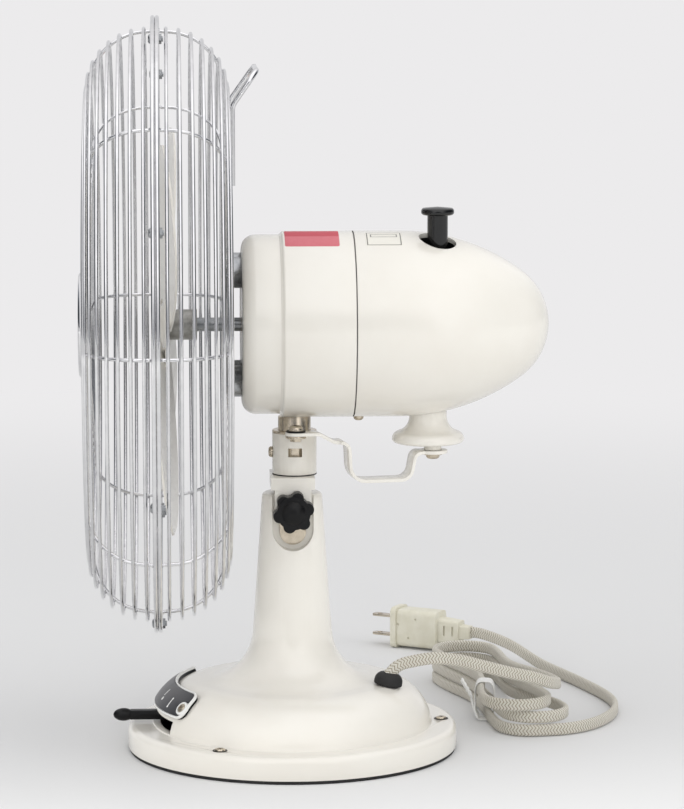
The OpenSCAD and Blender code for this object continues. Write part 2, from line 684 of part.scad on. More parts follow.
// Side view of the link's middle line: distance from the fixed pivot, height
link_z0 = bracket_top + 0.1 + link_t / 2;
link_mid_z = link_z0 - 5.2;
link_side = bent_path([[-link_w / 2, link_z0], [12.5, link_z0], [22, link_mid_z], [30, link_mid_z],
    [31.2, link_dip_z], [link_l - 14.5, link_dip_z], [link_l - 11.6, link_end_z],
    [link_l + link_end_r, link_end_z]], link_bends);
module crank_link() {
    color(cream) translate([link_pivot_x, pivot_back, 0]) rotate([0, 0, link_slant]) difference() {
        intersection() {
            rotate([90, 0, 90]) linear_extrude(3 * link_w, center = true) polygon(strip(link_side, link_t));
            linear_extrude(axis_z) {
                circle(d = link_w);
                translate([-link_w / 2, 0]) square([link_w, link_l]);
                translate([-link_dip_w / 2, 25]) square([link_dip_w, link_l - 33]);
                translate([0, link_l]) circle(r = link_end_r);
            }
        }
        translate([0, 0, link_z0 - link_t]) cylinder(d = link_screw_d + 2 * fit, h = 2 * link_t);
        translate([0, link_l, link_end_z - link_t])
            cylinder(r = link_screw_d / 2 + link_slack, h = 2 * link_t);
    }
}

// Motor head: heights here run forward along the fan axis, from the column's axis

shell_in = shell_r - shell_wall;
// Depth of the V-shaped joint line between shell and cover
seam_groove = 0.5;
bell_r = shell_r - bell_step;
post_bottom = collar_bottom + gap;
nose_centre = nose_arc - nose_back;
taper_l = -nose_centre - taper_back;
taper_arc = (pow(shell_r, 2) + pow(taper_l, 2) - pow(nose_arc, 2)) / (2 * (shell_r - nose_arc));
taper_a = atan(taper_l / (taper_arc - shell_r));
// Rear cover's outline from the seam to the tip, drawn in by a wall
function cover_line(wall) = concat(wall > 0 ? [[shell_r - wall, -seam_back]]
    : [[shell_r - seam_groove, -seam_back], [shell_r, -seam_back - seam_groove]],
    arc([shell_r - taper_arc, -taper_back], taper_arc - wall, 0, -taper_a, 10),
    arc([0, nose_centre], nose_arc - wall, -taper_a, -90, 12));
// Radius of the cover's outside at a distance behind the column's axis, within its taper
function cover_radius(back) = shell_r - taper_arc
    + sqrt(pow(taper_arc, 2) - pow(max(back - taper_back, 0), 2));

bearing_r = 8;
bearing_l = 14;
boss_r = bearing_r + 4;
module pivot_post() {
    color(nickel) difference() {
        at_pivot() translate([0, 0, post_bottom]) cylinder(d = post_d, h = axis_z - post_bottom - shell_in);
        on_fan_axis() translate([0, 0, -seam_back]) cylinder(r = shell_r, h = seam_back + bell_edge);
        on_fan_axis() cylinder(r = shell_r, h = bell_face);
    }
}
module front_bell() {
    color(cream) on_fan_axis() difference() {
        rotate_extrude() polygon(concat(
            [[bearing_r + fit, bell_face], [bell_r - bell_round, bell_face]],
            reversed(arc([bell_r - bell_round, bell_face - bell_round], bell_round, 0, 90, 8)),
            [[bell_r, bell_edge], [bell_r - shell_wall, bell_edge]],
            arc([bell_r - bell_round, bell_face - bell_round], bell_round - shell_wall, 0, 90, 6),
            [[boss_r, bell_face - shell_wall], [boss_r, bell_face - bearing_l],
             [bearing_r + fit, bell_face - bearing_l]]));
        for (p = guard_pads) translate([p[0], p[1], bell_face - 3 * shell_wall])
            cylinder(d = guard_screw_d + fit, h = 4 * shell_wall);
    }
}
module motor_shell() {
    color(cream) on_fan_axis() rotate_extrude() polygon([[shell_in, -seam_back],
        [shell_r - seam_groove, -seam_back], [shell_r, seam_groove - seam_back], [shell_r, bell_edge],
        [shell_in, bell_edge]]);
}
clutch_x = 13.8;
gear_module = 0.8;
pinion_teeth = 12;
crank_teeth = 24;
gear_span = gear_module * (pinion_teeth + crank_teeth) / 2;
clutch_y = crank_y + sqrt(gear_span * gear_span - clutch_x * clutch_x);
// The crank disc's neck goes up through a hole in the cover
neck_r = 10.9;
crank_hole_r = neck_r + 2 * gap;
crank_shaft_d = 6;
// Distance of the cover's screw behind the seam
cover_screw_z = 3.5;
cover_screw_d = 3;
module rear_cover() {
    color(cream) difference() {
        on_fan_axis() rotate_extrude() polygon(concat(cover_line(0), reversed(cover_line(shell_wall))));
        translate([clutch_x, clutch_y, axis_z]) cylinder(r = well_r, h = shell_r + 10);
        translate([0, crank_y, 0]) cylinder(r = crank_hole_r, h = axis_z);
        on_fan_axis() translate([0, 0, -seam_back - cover_screw_z]) rotate([90, 0, 0])
            cylinder(d = cover_screw_d + fit, h = 2 * shell_r);
    }
}
module cover_screw() {
    color(nickel) on_fan_axis() translate([0, 0.5 - shell_in, -seam_back - cover_screw_z])
        rotate([90, 0, 0]) {
            cylinder(d = cover_screw_d, h = shell_wall + 1);
            translate([0, 0, shell_wall + 0.5]) cylinder(r1 = 3, r2 = 2.2, h = 2.6);
        }
}
stator_l = 32;
stator_back = -28;
stator_in = 30;
slots = 16;
slot_d = 6.5;
slot_ring = stator_in + 6;
// Height of the coils' end rings
coil_end = 3.4;
module stator() {
    color("dimgray") on_fan_axis() translate([0, 0, stator_back]) difference() {
        tube(shell_in - 0.1, stator_in, stator_l);
        for (i = [0:slots - 1]) rotate(i * 360 / slots) translate([slot_ring, 0, -1])
            cylinder(d = slot_d, h = stator_l + 2);
    }
}
module windings() {
    color("peru") on_fan_axis() {
        for (z = [stator_back - coil_end, stator_back + stator_l]) translate([0, 0, z])
            tube(stator_in + 10, stator_in + 2, coil_end);
        for (i = [0:slots - 1]) rotate(i * 360 / slots) translate([slot_ring, 0, stator_back])
            cylinder(d = slot_d - 0.2, h = stator_l);
    }
}
module front_bearing() {
    color("goldenrod") on_fan_axis() translate([0, 0, bell_face - bearing_l])
        tube(bearing_r, shaft_d / 2 + fit, bearing_l);
}
rear_plate_t = 3;
// How far the rear bearing stands out of its plate
bearing_out = 2;
rear_plate_back = stator_back - coil_end - rear_plate_t;
module rear_plate() {
    color(chrome) on_fan_axis() translate([0, 0, rear_plate_back])
        tube(shell_in - 0.1, bearing_r + fit, rear_plate_t);
}
module rear_bearing() {
    color("goldenrod") on_fan_axis() translate([0, 0, rear_plate_back - bearing_out])
        tube(bearing_r, shaft_d / 2 + fit, rear_plate_t + bearing_out);
}

// Gear case behind the motor, with the worm drive and the crank's gears

worm_r = 4.6;
shaft_tail_d = 5;
worm_l = 18;
worm_pitch = 2.4;
wheel_teeth = 20;
wheel_r = clutch_x - worm_r - gap;
wheel_h = 7;
gear_h = 6;
gear_z = 224;
spindle_d = 5;
case_front = -rear_plate_back;
case_back = clutch_y + wheel_r + 5;
case_wall = 4;
case_side = gear_tip(crank_teeth) + case_wall;
case_bottom = gear_z - gear_h / 2 - case_wall;
case_top = axis_z + 10;
module gear_room(teeth) {
    translate([0, 0, gear_z - gear_h / 2 - gap]) cylinder(r = gear_tip(teeth) + gap, h = gear_h + 2 * gap);
}
module gear_case() {
    color("darkgray") difference() {
        translate([-case_side, case_front, case_bottom])
            cube([case_side + clutch_x + wheel_r + case_wall, case_back - case_front,
                case_top - case_bottom]);
        on_fan_axis() translate([0, 0, -case_back - 1]) cylinder(r = worm_r + gap, h = case_back);
        on_fan_axis() translate([0, 0, -case_front - bearing_out - gap])
            cylinder(r = bearing_r + gap, h = 2 * bearing_l);
        translate([clutch_x, clutch_y, 0]) {
            translate([0, 0, axis_z - wheel_h / 2 - gap])
                cylinder(r = wheel_r + gap, h = wheel_h + 2 * gap);
            gear_room(pinion_teeth);
            translate([0, 0, case_bottom - 1])
                cylinder(d = spindle_d + 2 * fit, h = case_top - case_bottom + 2);
        }
        translate([0, crank_y, 0]) {
            gear_room(crank_teeth);
            translate([0, 0, case_bottom - 1])
                cylinder(d = crank_shaft_d + 2 * fit, h = gear_z - case_bottom + gear_h);
        }
    }
}
function gear_pitch_r(teeth) = gear_module * teeth / 2;
function gear_tip(teeth) = gear_pitch_r(teeth) + 0.8 * gear_module;
// Spur gear with straight-sided teeth, narrowed for backlash
module spur_gear(teeth, h, bore) {
    step = 360 / teeth;
    tip = gear_tip(teeth);
    root = gear_pitch_r(teeth) - 1.05 * gear_module;
    linear_extrude(h) difference() {
        polygon([for (i = [0:teeth - 1], k = [[root, -0.3], [tip, -0.1], [tip, 0.1], [root, 0.3]])
            k[0] * [cos((i + k[1]) * step), sin((i + k[1]) * step)]]);
        circle(d = bore);
    }
}
// Direction from the crank's axis to the clutch's axis, along which the teeth mesh
mesh_a = atan2(clutch_y - crank_y, clutch_x);
module crank_gear() {
    color("goldenrod") translate([0, crank_y, gear_z - gear_h / 2]) rotate(mesh_a)
        spur_gear(crank_teeth, gear_h, crank_shaft_d);
}
module pinion() {
    color("goldenrod") translate([clutch_x, clutch_y, gear_z - gear_h / 2])
        rotate(mesh_a + 180 + 180 / pinion_teeth) spur_gear(pinion_teeth, gear_h, spindle_d + 2 * fit);
}
// Metal left in the crank disc under the shaft, and over the screw
shaft_seat = 3;
module crank_shaft() {
    color(chrome) translate([0, crank_y, crank_bottom + shaft_seat])
        cylinder(d = crank_shaft_d, h = gear_z + gear_h / 2 - crank_bottom - shaft_seat);
}
neck_top = axis_z - cover_radius(crank_y + neck_r) + shell_wall;
// The disc's rim is rounded below and flares above into the cove of its neck
rim_low = 2.3;
rim_high = 4.3;
rim_turn = 75;
cove_r = (crank_r - rim_high + rim_high * cos(rim_turn) - neck_r) / (1 - cos(rim_turn));
cove_at = [neck_r + cove_r, crank_bottom + rim_low + (rim_high + cove_r) * sin(rim_turn)];
module crank_disc() {
    color(cream) translate([0, crank_y, 0]) difference() {
        union() {
            rotate_extrude() polygon(concat(
                [[0, crank_bottom]],
                arc([crank_r - rim_low, crank_bottom + rim_low], rim_low, 270, 355, 6),
                arc([crank_r - rim_high, crank_bottom + rim_low], rim_high, 0, rim_turn, 8),
                [for (p = arc(cove_at, cove_r, 176 + rim_turn, 180, 10)) if (p[1] < neck_top - 0.4) p],
                [[neck_r, neck_top], [0, neck_top]]));
            translate([pin_at[0], pin_at[1] - crank_y, link_end_z + link_t / 2 + 0.1])
                cylinder(r = 5, h = crank_bottom - link_end_z - link_t / 2);
        }
        translate([0, 0, crank_bottom + shaft_seat]) cylinder(d = crank_shaft_d, h = axis_z);
        translate([pin_at[0], pin_at[1] - crank_y, 0])
            cylinder(d = link_screw_d, h = crank_bottom + shaft_seat);
    }
}
crank_washer_r = 5.6;
module crank_screw() {
    low = link_end_z - link_t / 2 - 0.1 - washer_t;
    color(nickel) translate([pin_at[0], pin_at[1], low]) {
        cylinder(d = link_screw_d, h = crank_bottom + shaft_seat - low);
        cylinder(r = crank_washer_r, h = washer_t);
        translate([0, 0, -2.4]) cylinder(r1 = 3, r2 = 4, h = 2.4);
    }
}
stem_bottom = axis_z + 14 + clutch_travel;
// Depth of the spindle in the knob's stem
spindle_seat = 10;
module clutch_knob() {
    color(black) translate([clutch_x, clutch_y, 0]) difference() {
        union() {
            translate([0, 0, stem_bottom]) cylinder(d = stem_d, h = knob_top - 4 - stem_bottom);
            translate([0, 0, knob_top]) rotate_extrude() polygon(concat(
                [[0, -4.8], [cap_d / 2 - 1, -4.8], [cap_d / 2, -3.8], [cap_d / 2, -2.6]],
                arc([cap_d / 2 - 2, -2.6], 2, 0, 60, 4), [[0, 0]]));
        }
        translate([0, 0, stem_bottom - 1]) cylinder(d = spindle_d, h = spindle_seat + 1);
    }
}
spindle_bottom = case_bottom + clutch_travel - 4;
module clutch_spindle() {
    color(chrome) translate([clutch_x, clutch_y, spindle_bottom])
        cylinder(d = spindle_d, h = stem_bottom + spindle_seat - spindle_bottom);
}
module worm_wheel() {
    color("goldenrod") translate([clutch_x, clutch_y, axis_z - wheel_h / 2]) difference() {
        cylinder(r = wheel_r, h = wheel_h);
        for (i = [0:wheel_teeth - 1]) rotate((i + 0.5) * 360 / wheel_teeth) translate([wheel_r, 0, -1])
            cylinder(r = 0.7, h = wheel_h + 2);
        translate([0, 0, -1]) cylinder(d = spindle_d + 2 * fit, h = wheel_h + 2);
    }
}
well_floor = axis_z + 11;
well_wall = 1.6;
module knob_well() {
    color(black) {
        intersection() {
            translate([clutch_x, clutch_y, well_floor]) tube(well_r + well_wall, well_r, shell_r);
            on_fan_axis() rotate_extrude() polygon(concat([[0, -seam_back]], cover_line(shell_wall + fit)));
        }
        translate([clutch_x, clutch_y, case_top])
            tube(well_r + well_wall, spindle_d / 2 + 2, well_floor - case_top);
    }
}

// Rotor

module motor_shaft() {
    color(chrome) on_fan_axis() {
        translate([0, 0, -case_front]) cylinder(d = shaft_d, h = hub_front + case_front);
        translate([0, 0, -case_back + 2]) cylinder(d = shaft_tail_d, h = case_back - 2);
    }
}
air_gap = 0.5;
module rotor_core() {
    color("silver") on_fan_axis() translate([0, 0, stator_back])
        tube(stator_in - air_gap, shaft_d / 2, stator_l);
}
module worm() {
    color("goldenrod") on_fan_axis() translate([0, 0, -clutch_y - worm_l / 2]) difference() {
        cylinder(r = worm_r, h = worm_l);
        for (i = [0:worm_l / worm_pitch - 1]) translate([0, 0, worm_pitch * (i + 0.5)]) rotate_extrude()
            translate([worm_r, 0]) circle(r = 0.6, $fn = 16);
        translate([0, 0, -1]) cylinder(d = shaft_tail_d, h = worm_l + 2);
    }
}
set_screw_d = 4;
set_screw_z = hub_back + 6;
module fan_hub() {
    color("silver") on_fan_axis() difference() {
        translate([0, 0, hub_back]) tube(hub_r, shaft_d / 2, hub_front - hub_back);
        translate([0, 0, set_screw_z]) rotate([90, 0, 0]) cylinder(d = set_screw_d + fit, h = 2 * hub_r);
    }
}
module hub_set_screw() {
    color("dimgray") on_fan_axis() translate([0, -shaft_d / 2 - 0.05, set_screw_z]) rotate([90, 0, 0])
        cylinder(d = set_screw_d, h = hub_r - shaft_d / 2 - 0.6);
}
// Blade surface: s runs from root to tip, w from one edge of the chord to the other
blade_root = 22;
spider_r = 30;
spider_t = 2.2;
nut_r = 14;
blade_mid = hub_front + 0.3;
blade_rows = 9;
blade_cols = 8;
function blade_width(s) = blade_chord * (0.5 + 0.5 * sin(90 * min(1, 1.5 * s)))
    * (s > 0.7 ? sqrt(1 - 0.8 * pow((s - 0.7) / 0.3, 2)) : 1);
function blade_point(s, w, side) =
    let (r = blade_root + (blade_r - blade_root) * s, c = blade_width(s) * w,
         a = c / r * 180 / PI, pitch = blade_pitch + 4 * (1 - s))
    [r * cos(a), r * sin(a), blade_mid + c * tan(pitch) + 2.5 * (1 - s) + side * blade_t / 2];
module blade() {
    cols = blade_cols + 1;
    layer = (blade_rows + 1) * cols;
    points = [for (side = [1, -1], i = [0:blade_rows], j = [0:blade_cols])
        blade_point(i / blade_rows, j / blade_cols - 0.5, side)];
    skin = [for (i = [0:blade_rows - 1], j = [0:blade_cols - 1])
        let (a = i * cols + j) each [[a, a + 1, a + cols], [a + 1, a + cols + 1, a + cols]]];
    edge = concat([for (j = [0:blade_cols]) j], [for (i = [1:blade_rows]) i * cols + blade_cols],
        [for (j = [blade_cols - 1:-1:0]) blade_rows * cols + j],
        [for (i = [blade_rows - 1:-1:1]) i * cols]);
    polyhedron(points, concat(skin, [for (f = skin) [f[0] + layer, f[2] + layer, f[1] + layer]],
        [for (k = [0:len(edge) - 1]) let (a = edge[k], b = edge[(k + 1) % len(edge)])
            each [[a, a + layer, b], [b, a + layer, b + layer]]]), convexity = 6);
}
module fan_blades() {
    color(cream) on_fan_axis() {
        translate([0, 0, hub_front]) cylinder(r = spider_r, h = spider_t);
        translate([0, 0, hub_front + spider_t]) cylinder(r1 = nut_r, r2 = nut_r - 4, h = 3.4);
        for (i = [0:blades - 1]) rotate(i * 360 / blades + 45) blade();
    }
}

// Guard

first_ring = 6.3;
rib_in = (ring_wire + rib_wire) / 2 - weld;
rib_elbow = 3;
// Bends are this much thicker than the straights, which run a little way into them
bend_swell = 0.06;
bend_in = 0.15;
plate_out_r = 44;
rear_inner = plate_out_r + 4;
front_inner = badge_r + 3;
function corner_length(slope) = corner_arc * (90 - slope) * PI / 180;
// Radius and offset from the rim plane at a distance s along the rings' surface
function ring_spot(s, start, slope) =
    let (a = (s - start) / corner_arc * 180 / PI, rest = s - start - corner_length(slope))
    s < start ? [side_r, s]
    : rest < 0 ? [side_r - corner_arc + corner_arc * cos(a), start + corner_arc * sin(a)]
    : [side_r - corner_arc + corner_arc * sin(slope) - rest * cos(slope),
       start + corner_arc * cos(slope) + rest * sin(slope)];
function ring_count(start, slope, inner) =
    let (face = (side_r - corner_arc + corner_arc * sin(slope) - inner) / cos(slope))
    floor((start + corner_length(slope) + face - first_ring) / ring_pitch);
module guard_rings(start, slope, inner) {
    rotate_extrude() translate([rim_r, rim_wire / 2]) circle(d = rim_wire);
    for (i = [0:ring_count(start, slope, inner)]) rotate_extrude()
        translate(ring_spot(first_ring + i * ring_pitch, start, slope)) circle(d = ring_wire);
}
module wire_arc(c, r, a0, a1) {
    translate(c) rotate(a0) rotate_extrude(angle = a1 - a0) translate([r, 0])
        circle(d = rib_wire + bend_swell);
}
// One rib, drawn with its radius along X and its offset from the rim plane along Y
module rib(start, slope, inner) {
    r = side_r - rib_in;
    o = rim_wire / 2;
    corner = corner_arc - rib_in;
    face = [side_r - corner_arc + corner * sin(slope), start + corner * cos(slope)];
    wire([rim_r - rim_wire / 2 + weld, o, 0], [r + rib_elbow - bend_in, o, 0], rib_wire);
    wire_arc([r + rib_elbow, o + rib_elbow, 0], rib_elbow, 180, 270);
    wire([r, o + rib_elbow - bend_in, 0], [r, start + bend_in, 0], rib_wire);
    wire_arc([side_r - corner_arc, start, 0], corner, 0, 90 - slope);
    wire([face[0] + bend_in * cos(slope), face[1] - bend_in * sin(slope), 0],
        [inner, face[1] + (face[0] - inner) * tan(slope), 0], rib_wire);
}
lug_w = 8;
lug_t = 1.6;
lug_in = 4;
lug_screw_d = 3;
lug_screw_r = rim_r - 4.3;
lug_start = -80;
lug_gap = 0.1;
module at_lugs() {
    for (i = [0:rim_screws_n - 1]) rotate(lug_start + i * 360 / rim_screws_n)
        translate([lug_screw_r, 0, 0]) children();
}
module guard_ribs(start, slope, inner) {
    for (i = [0:ribs - 1]) rotate(i * 360 / ribs) rotate([90, 0, 0]) rib(start, slope, inner);
    at_lugs() difference() {
        translate([-lug_in, -lug_w / 2, lug_gap])
            cube([lug_in + rim_r - lug_screw_r - rim_wire / 2 + weld, lug_w, lug_t]);
        cylinder(d = lug_screw_d + fit, h = 2 * lug_t);
    }
}
module at_rim(forward) {
    on_fan_axis() translate([0, 0, rim_ahead]) mirror([0, 0, forward ? 0 : 1]) children();
}
module front_rings() {
    color(chrome) at_rim(true) guard_rings(front_start, front_slope, front_inner);
}
module front_ribs() {
    color(chrome) at_rim(true) guard_ribs(front_start, front_slope, badge_r - 8);
}
module rear_rings() {
    color(chrome) at_rim(false) guard_rings(rear_start, 0, rear_inner);
}
module rear_ribs() {
    color(chrome) at_rim(false) guard_ribs(rear_start, 0, plate_in_r + 4);
}
module rim_screws() {
    color(nickel) at_rim(true) at_lugs() {
        translate([0, 0, -5]) cylinder(d = lug_screw_d, h = 8);
        translate([0, 0, lug_gap + lug_t]) cylinder(r1 = 2.8, r2 = 2.2, h = 2);
        translate([0, 0, -lug_gap - lug_t - 2.2]) cylinder(r = 3, h = 2.2, $fn = 6);
    }
}
// Front of the ribs near the badge's edge, offset from the rim plane
badge_seat = start_of_face(front_start, front_slope, badge_r - 2) - rib_in + rib_wire / 2 - weld;
function start_of_face(start, slope, r) =
    start + corner_arc * cos(slope) + (side_r - corner_arc + corner_arc * sin(slope) - r) * tan(slope);
module front_badge() {
    color(chrome) at_rim(true) translate([0, 0, badge_seat]) rotate_extrude() polygon(concat(
        [[0, 0], [badge_r, 0], [badge_r, 1.2]], arc([badge_r - 2, 1.8], 2, 0, 90, 4),
        [[badge_r - 4, 3.8], [badge_r - 5, 3], [0, 3.4]]));
}
plate_in_r = 20;
pad_ring = 34;
pad_r = 9;
guard_screw_d = 4;
// Two pads above the axis and two below it, each between two ribs
guard_pads = [for (mid = [90, 270], s = [-1, 1]) let (a = mid + s * 180 / ribs) pad_ring * [cos(a), sin(a)]];
rib_rear = rim_ahead - rear_start - corner_arc + rib_in - rib_wire / 2;
guard_plate_t = 2;
guard_plate_top = rib_rear + weld;
guard_plate_z = guard_plate_top - guard_plate_t;
module guard_plate() {
    color(nickel) on_fan_axis() difference() {
        union() {
            translate([0, 0, guard_plate_z]) tube(plate_out_r, plate_in_r, guard_plate_t);
            for (p = guard_pads) translate([p[0], p[1], bell_face])
                cylinder(r = pad_r, h = guard_plate_z - bell_face + 0.5);
        }
        for (p = guard_pads) translate([p[0], p[1], bell_face - 1])
            cylinder(d = guard_screw_d + fit, h = axis_z);
    }
}
module guard_screws() {
    color(nickel) on_fan_axis() for (p = guard_pads) translate([p[0], p[1], 0]) {
        translate([0, 0, bell_face - shell_wall])
            cylinder(d = guard_screw_d, h = guard_plate_top - bell_face + shell_wall + 0.5);
        translate([0, 0, guard_plate_top]) cylinder(r1 = 3.8, r2 = 2.8, h = 2.2);
    }
}
handle_bend = axis_z + side_r - 42.5;
handle_low = handle_bend - 45;
handle_rise = 24;
handle_lean = 35;
handle_corner = 9;
handle_elbow = 8;
module carry_handle() {
    y = -(rim_ahead - rear_start - corner_arc - ring_wire / 2 - handle_wire / 2 + weld);
    elbow = handle_elbow * tan(handle_lean / 2);
    color(chrome) for (s = [-1, 1]) mirror([s < 0 ? 1 : 0, 0, 0]) {
        wire([handle_half, y, handle_low], [handle_half, y, handle_bend - elbow + bend_in], handle_wire);
        translate([handle_half, y + handle_elbow, handle_bend - elbow]) rotate([90, 0, -90])
            rotate_extrude(angle = handle_lean) translate([handle_elbow, 0])
                circle(d = handle_wire + bend_swell);
        translate([0, y, handle_bend]) rotate([-handle_lean, 0, 0]) {
            wire([handle_half, 0, elbow - bend_in],
                [handle_half, 0, handle_rise - handle_corner + bend_in], handle_wire);
            translate([handle_half - handle_corner, 0, handle_rise - handle_corner]) rotate([90, 0, 0])
                rotate_extrude(angle = 90) translate([handle_corner, 0])
                    circle(d = handle_wire + bend_swell);
            wire([handle_half - handle_corner + bend_in, 0, handle_rise], [0, 0, handle_rise], handle_wire);
        }
    }
}

base_shell();
base_plate();
foot_pad();
flange_screws();
switch_bezel();
switch_plate();
switch_screws();
switch_box();
switch_lever();
cord_gland();
cord_lead();
cord_hank();
cord_tail();
cord_tie();
plug_body();
plug_blades();
tilt_bolt();
tilt_knob();
tilt_block();
tilt_plates();
pivot_collar();
collar_screw();
link_bracket();
link_pivot_screw();
crank_link();
pivot_post();
front_bell();
motor_shell();
rear_cover();
cover_screw();
stator();
windings();
front_bearing();
rear_plate();
rear_bearing();
gear_case();
knob_well();
crank_disc();
crank_screw();
crank_shaft();
crank_gear();
pinion();
clutch_knob();
clutch_spindle();
worm_wheel();
motor_shaft();
rotor_core();
worm();
fan_hub();
hub_set_screw();
fan_blades();
rim_screws();
guard_plate();
guard_screws();
rear_rings();
rear_ribs();
carry_handle();
front_rings();
front_ribs();
front_badge();
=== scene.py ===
"""Oscillating table fan: the looks of its enamelled base and head, chrome wire guard and braided cord."""

import math

import bpy
from mathutils import Matrix, Vector


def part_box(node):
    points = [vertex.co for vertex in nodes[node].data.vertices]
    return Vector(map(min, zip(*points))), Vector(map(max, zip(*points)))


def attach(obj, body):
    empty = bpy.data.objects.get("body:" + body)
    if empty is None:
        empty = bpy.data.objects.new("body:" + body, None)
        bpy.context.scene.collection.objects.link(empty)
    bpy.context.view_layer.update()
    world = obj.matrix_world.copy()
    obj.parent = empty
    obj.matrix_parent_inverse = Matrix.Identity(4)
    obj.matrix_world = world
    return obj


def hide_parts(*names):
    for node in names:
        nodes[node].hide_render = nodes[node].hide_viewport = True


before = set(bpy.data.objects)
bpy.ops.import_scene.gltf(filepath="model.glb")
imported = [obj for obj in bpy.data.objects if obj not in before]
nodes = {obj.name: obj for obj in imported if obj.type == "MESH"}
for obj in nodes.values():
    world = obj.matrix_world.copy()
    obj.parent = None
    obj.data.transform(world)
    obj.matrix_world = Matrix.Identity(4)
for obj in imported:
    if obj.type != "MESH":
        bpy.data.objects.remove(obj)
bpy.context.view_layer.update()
scene = bpy.context.scene
scene.view_settings.view_transform = "Standard"


# Camera: a long lens a little above the table, looking at the fan's side along the guard's rings.
# The focal length is in pixels of the photograph's long side.
LONG_SIDE = 809
FOCAL_PIXELS = 3541
SENSOR = 36
CAMERA_AT = (2.0351, -0.0715, 0.4804)
pitch = math.radians(7.77)
yaw = math.radians(2.83)
ahead = Vector((-math.cos(pitch) * math.cos(yaw), math.cos(pitch) * math.sin(yaw), -math.sin(pitch)))
bpy.ops.object.camera_add(location=CAMERA_AT)
camera = bpy.context.object
camera.rotation_euler = ahead.to_track_quat("-Z", "Y").to_euler()
camera.data.sensor_width = SENSOR
camera.data.lens = FOCAL_PIXELS / LONG_SIDE * SENSOR
camera.data.clip_end = 60
scene.camera = camera


# Studio: a pale table that runs into a pale surround, under wide soft lamps.
# Polished metal mirrors a room around it that is bright overhead and dim to both sides and behind the lens.
def linear(hex_colour):
    """Linear RGBA of an sRGB hex colour."""
    channels = [int(hex_colour[i:i + 2], 16) / 255 for i in (1, 3, 5)]
    return [c / 12.92 if c <= 0.04045 else ((c + 0.055) / 1.055) ** 2.4 for c in channels] + [1.0]


def add(tree, kind, values=None, links=None, **settings):
    """Adds a node with its settings, the values of its sockets and the links into them."""
    made = tree.nodes.new(kind)
    for name, value in settings.items():
        setattr(made, name, value)
    for socket, value in (values or {}).items():
        made.inputs[socket].default_value = value
    for socket, source in (links or {}).items():
        tree.links.new(source, made.inputs[socket])
    return made


SURROUND = linear("#ECEBEC")
ROOM_SHADE = linear("#A9B6C6")
AMBIENT = linear("#F6F6F7")
AMBIENT_LEVEL = 0.97
TABLE = linear("#D9D9D9")
# Painted light: the table's colour turns lighter towards the lens.
TABLE_PAINTED_LIGHT = linear("#F1F1F0")
TABLE_NEAR = 0.55
TABLE_FAR = 1.6
TABLE_R = 9
# A hair under the foot, so that the two faces don't share one plane
TABLE_Z = -0.00005

world = bpy.data.worlds.new("studio")
world.use_nodes = True
scene.world = world
tree = world.node_tree
tree.nodes.clear()
rays = add(tree, "ShaderNodeLightPath").outputs
direction = add(tree, "ShaderNodeTexCoord").outputs["Generated"]
axes = add(tree, "ShaderNodeSeparateXYZ", links={0: direction}).outputs
# Each level runs from one brightness to another between two places along an axis of the room.
sideways = add(tree, "ShaderNodeMath", links={0: axes["Y"]}, operation="ABSOLUTE").outputs[0]
side_level = add(tree, "ShaderNodeMapRange", {1: 0.45, 2: 0.88, 3: 1.8, 4: 0.1}, {0: sideways}).outputs[0]
lens_level = add(tree, "ShaderNodeMapRange", {1: 0.9, 2: 0.975, 3: 1.0, 4: 0.15}, {0: axes["X"]}).outputs[0]
rear_level = add(tree, "ShaderNodeMapRange", {1: -0.95, 2: -0.25, 3: 0.5, 4: 1.0}, {0: axes["X"]}).outputs[0]
room_level = side_level
for level in (lens_level, rear_level):
    room_level = add(tree, "ShaderNodeMath", links={0: room_level, 1: level}, operation="MULTIPLY").outputs[0]
room_tint = add(tree, "ShaderNodeMix", {6: ROOM_SHADE, 7: SURROUND}, {0: room_level},
                data_type="RGBA").outputs[2]
ambient = add(tree, "ShaderNodeBackground", {"Color": AMBIENT, "Strength": AMBIENT_LEVEL}).outputs[0]
seen = add(tree, "ShaderNodeBackground", {"Color": SURROUND, "Strength": 1.0}).outputs[0]
mirrored = add(tree, "ShaderNodeBackground", links={"Color": room_tint, "Strength": room_level}).outputs[0]
for_metal = add(tree, "ShaderNodeMath", links={0: rays["Is Glossy Ray"], 1: rays["Is Transmission Ray"]},
                operation="MAXIMUM").outputs[0]
lit = add(tree, "ShaderNodeMixShader", links={0: for_metal, 1: ambient, 2: mirrored}).outputs[0]
shown = add(tree, "ShaderNodeMixShader", links={0: rays["Is Camera Ray"], 1: lit, 2: seen}).outputs[0]
add(tree, "ShaderNodeOutputWorld", links={0: shown})

bpy.ops.mesh.primitive_circle_add(vertices=96, radius=TABLE_R, fill_type="NGON", location=(0, 0, TABLE_Z))
table = bpy.context.object
table.name = "table"
# Matt white board: no gloss, with painted light that makes it a little lighter towards the lens, fading into
# the surround far from the fan.
table_white = bpy.data.materials.new("matt_white_table")
table_white.use_nodes = True
tree = table_white.node_tree
tree.nodes.clear()
rays = add(tree, "ShaderNodeLightPath").outputs
place = add(tree, "ShaderNodeTexCoord").outputs["Object"]
away = add(tree, "ShaderNodeVectorMath", links={0: place}, operation="LENGTH").outputs["Value"]
fade = add(tree, "ShaderNodeMapRange", {1: TABLE_NEAR, 2: TABLE_FAR, 3: 0.0, 4: 1.0}, {0: away},
           interpolation_type="SMOOTHSTEP").outputs[0]
fade = add(tree, "ShaderNodeMath", links={0: fade, 1: rays["Is Camera Ray"]}, operation="MULTIPLY").outputs[0]
along = add(tree, "ShaderNodeSeparateXYZ", links={0: place}).outputs["X"]
painted_light_front = add(tree, "ShaderNodeMapRange", {1: -0.1, 2: 0.35}, {0: along},
           interpolation_type="SMOOTHSTEP").outputs[0]
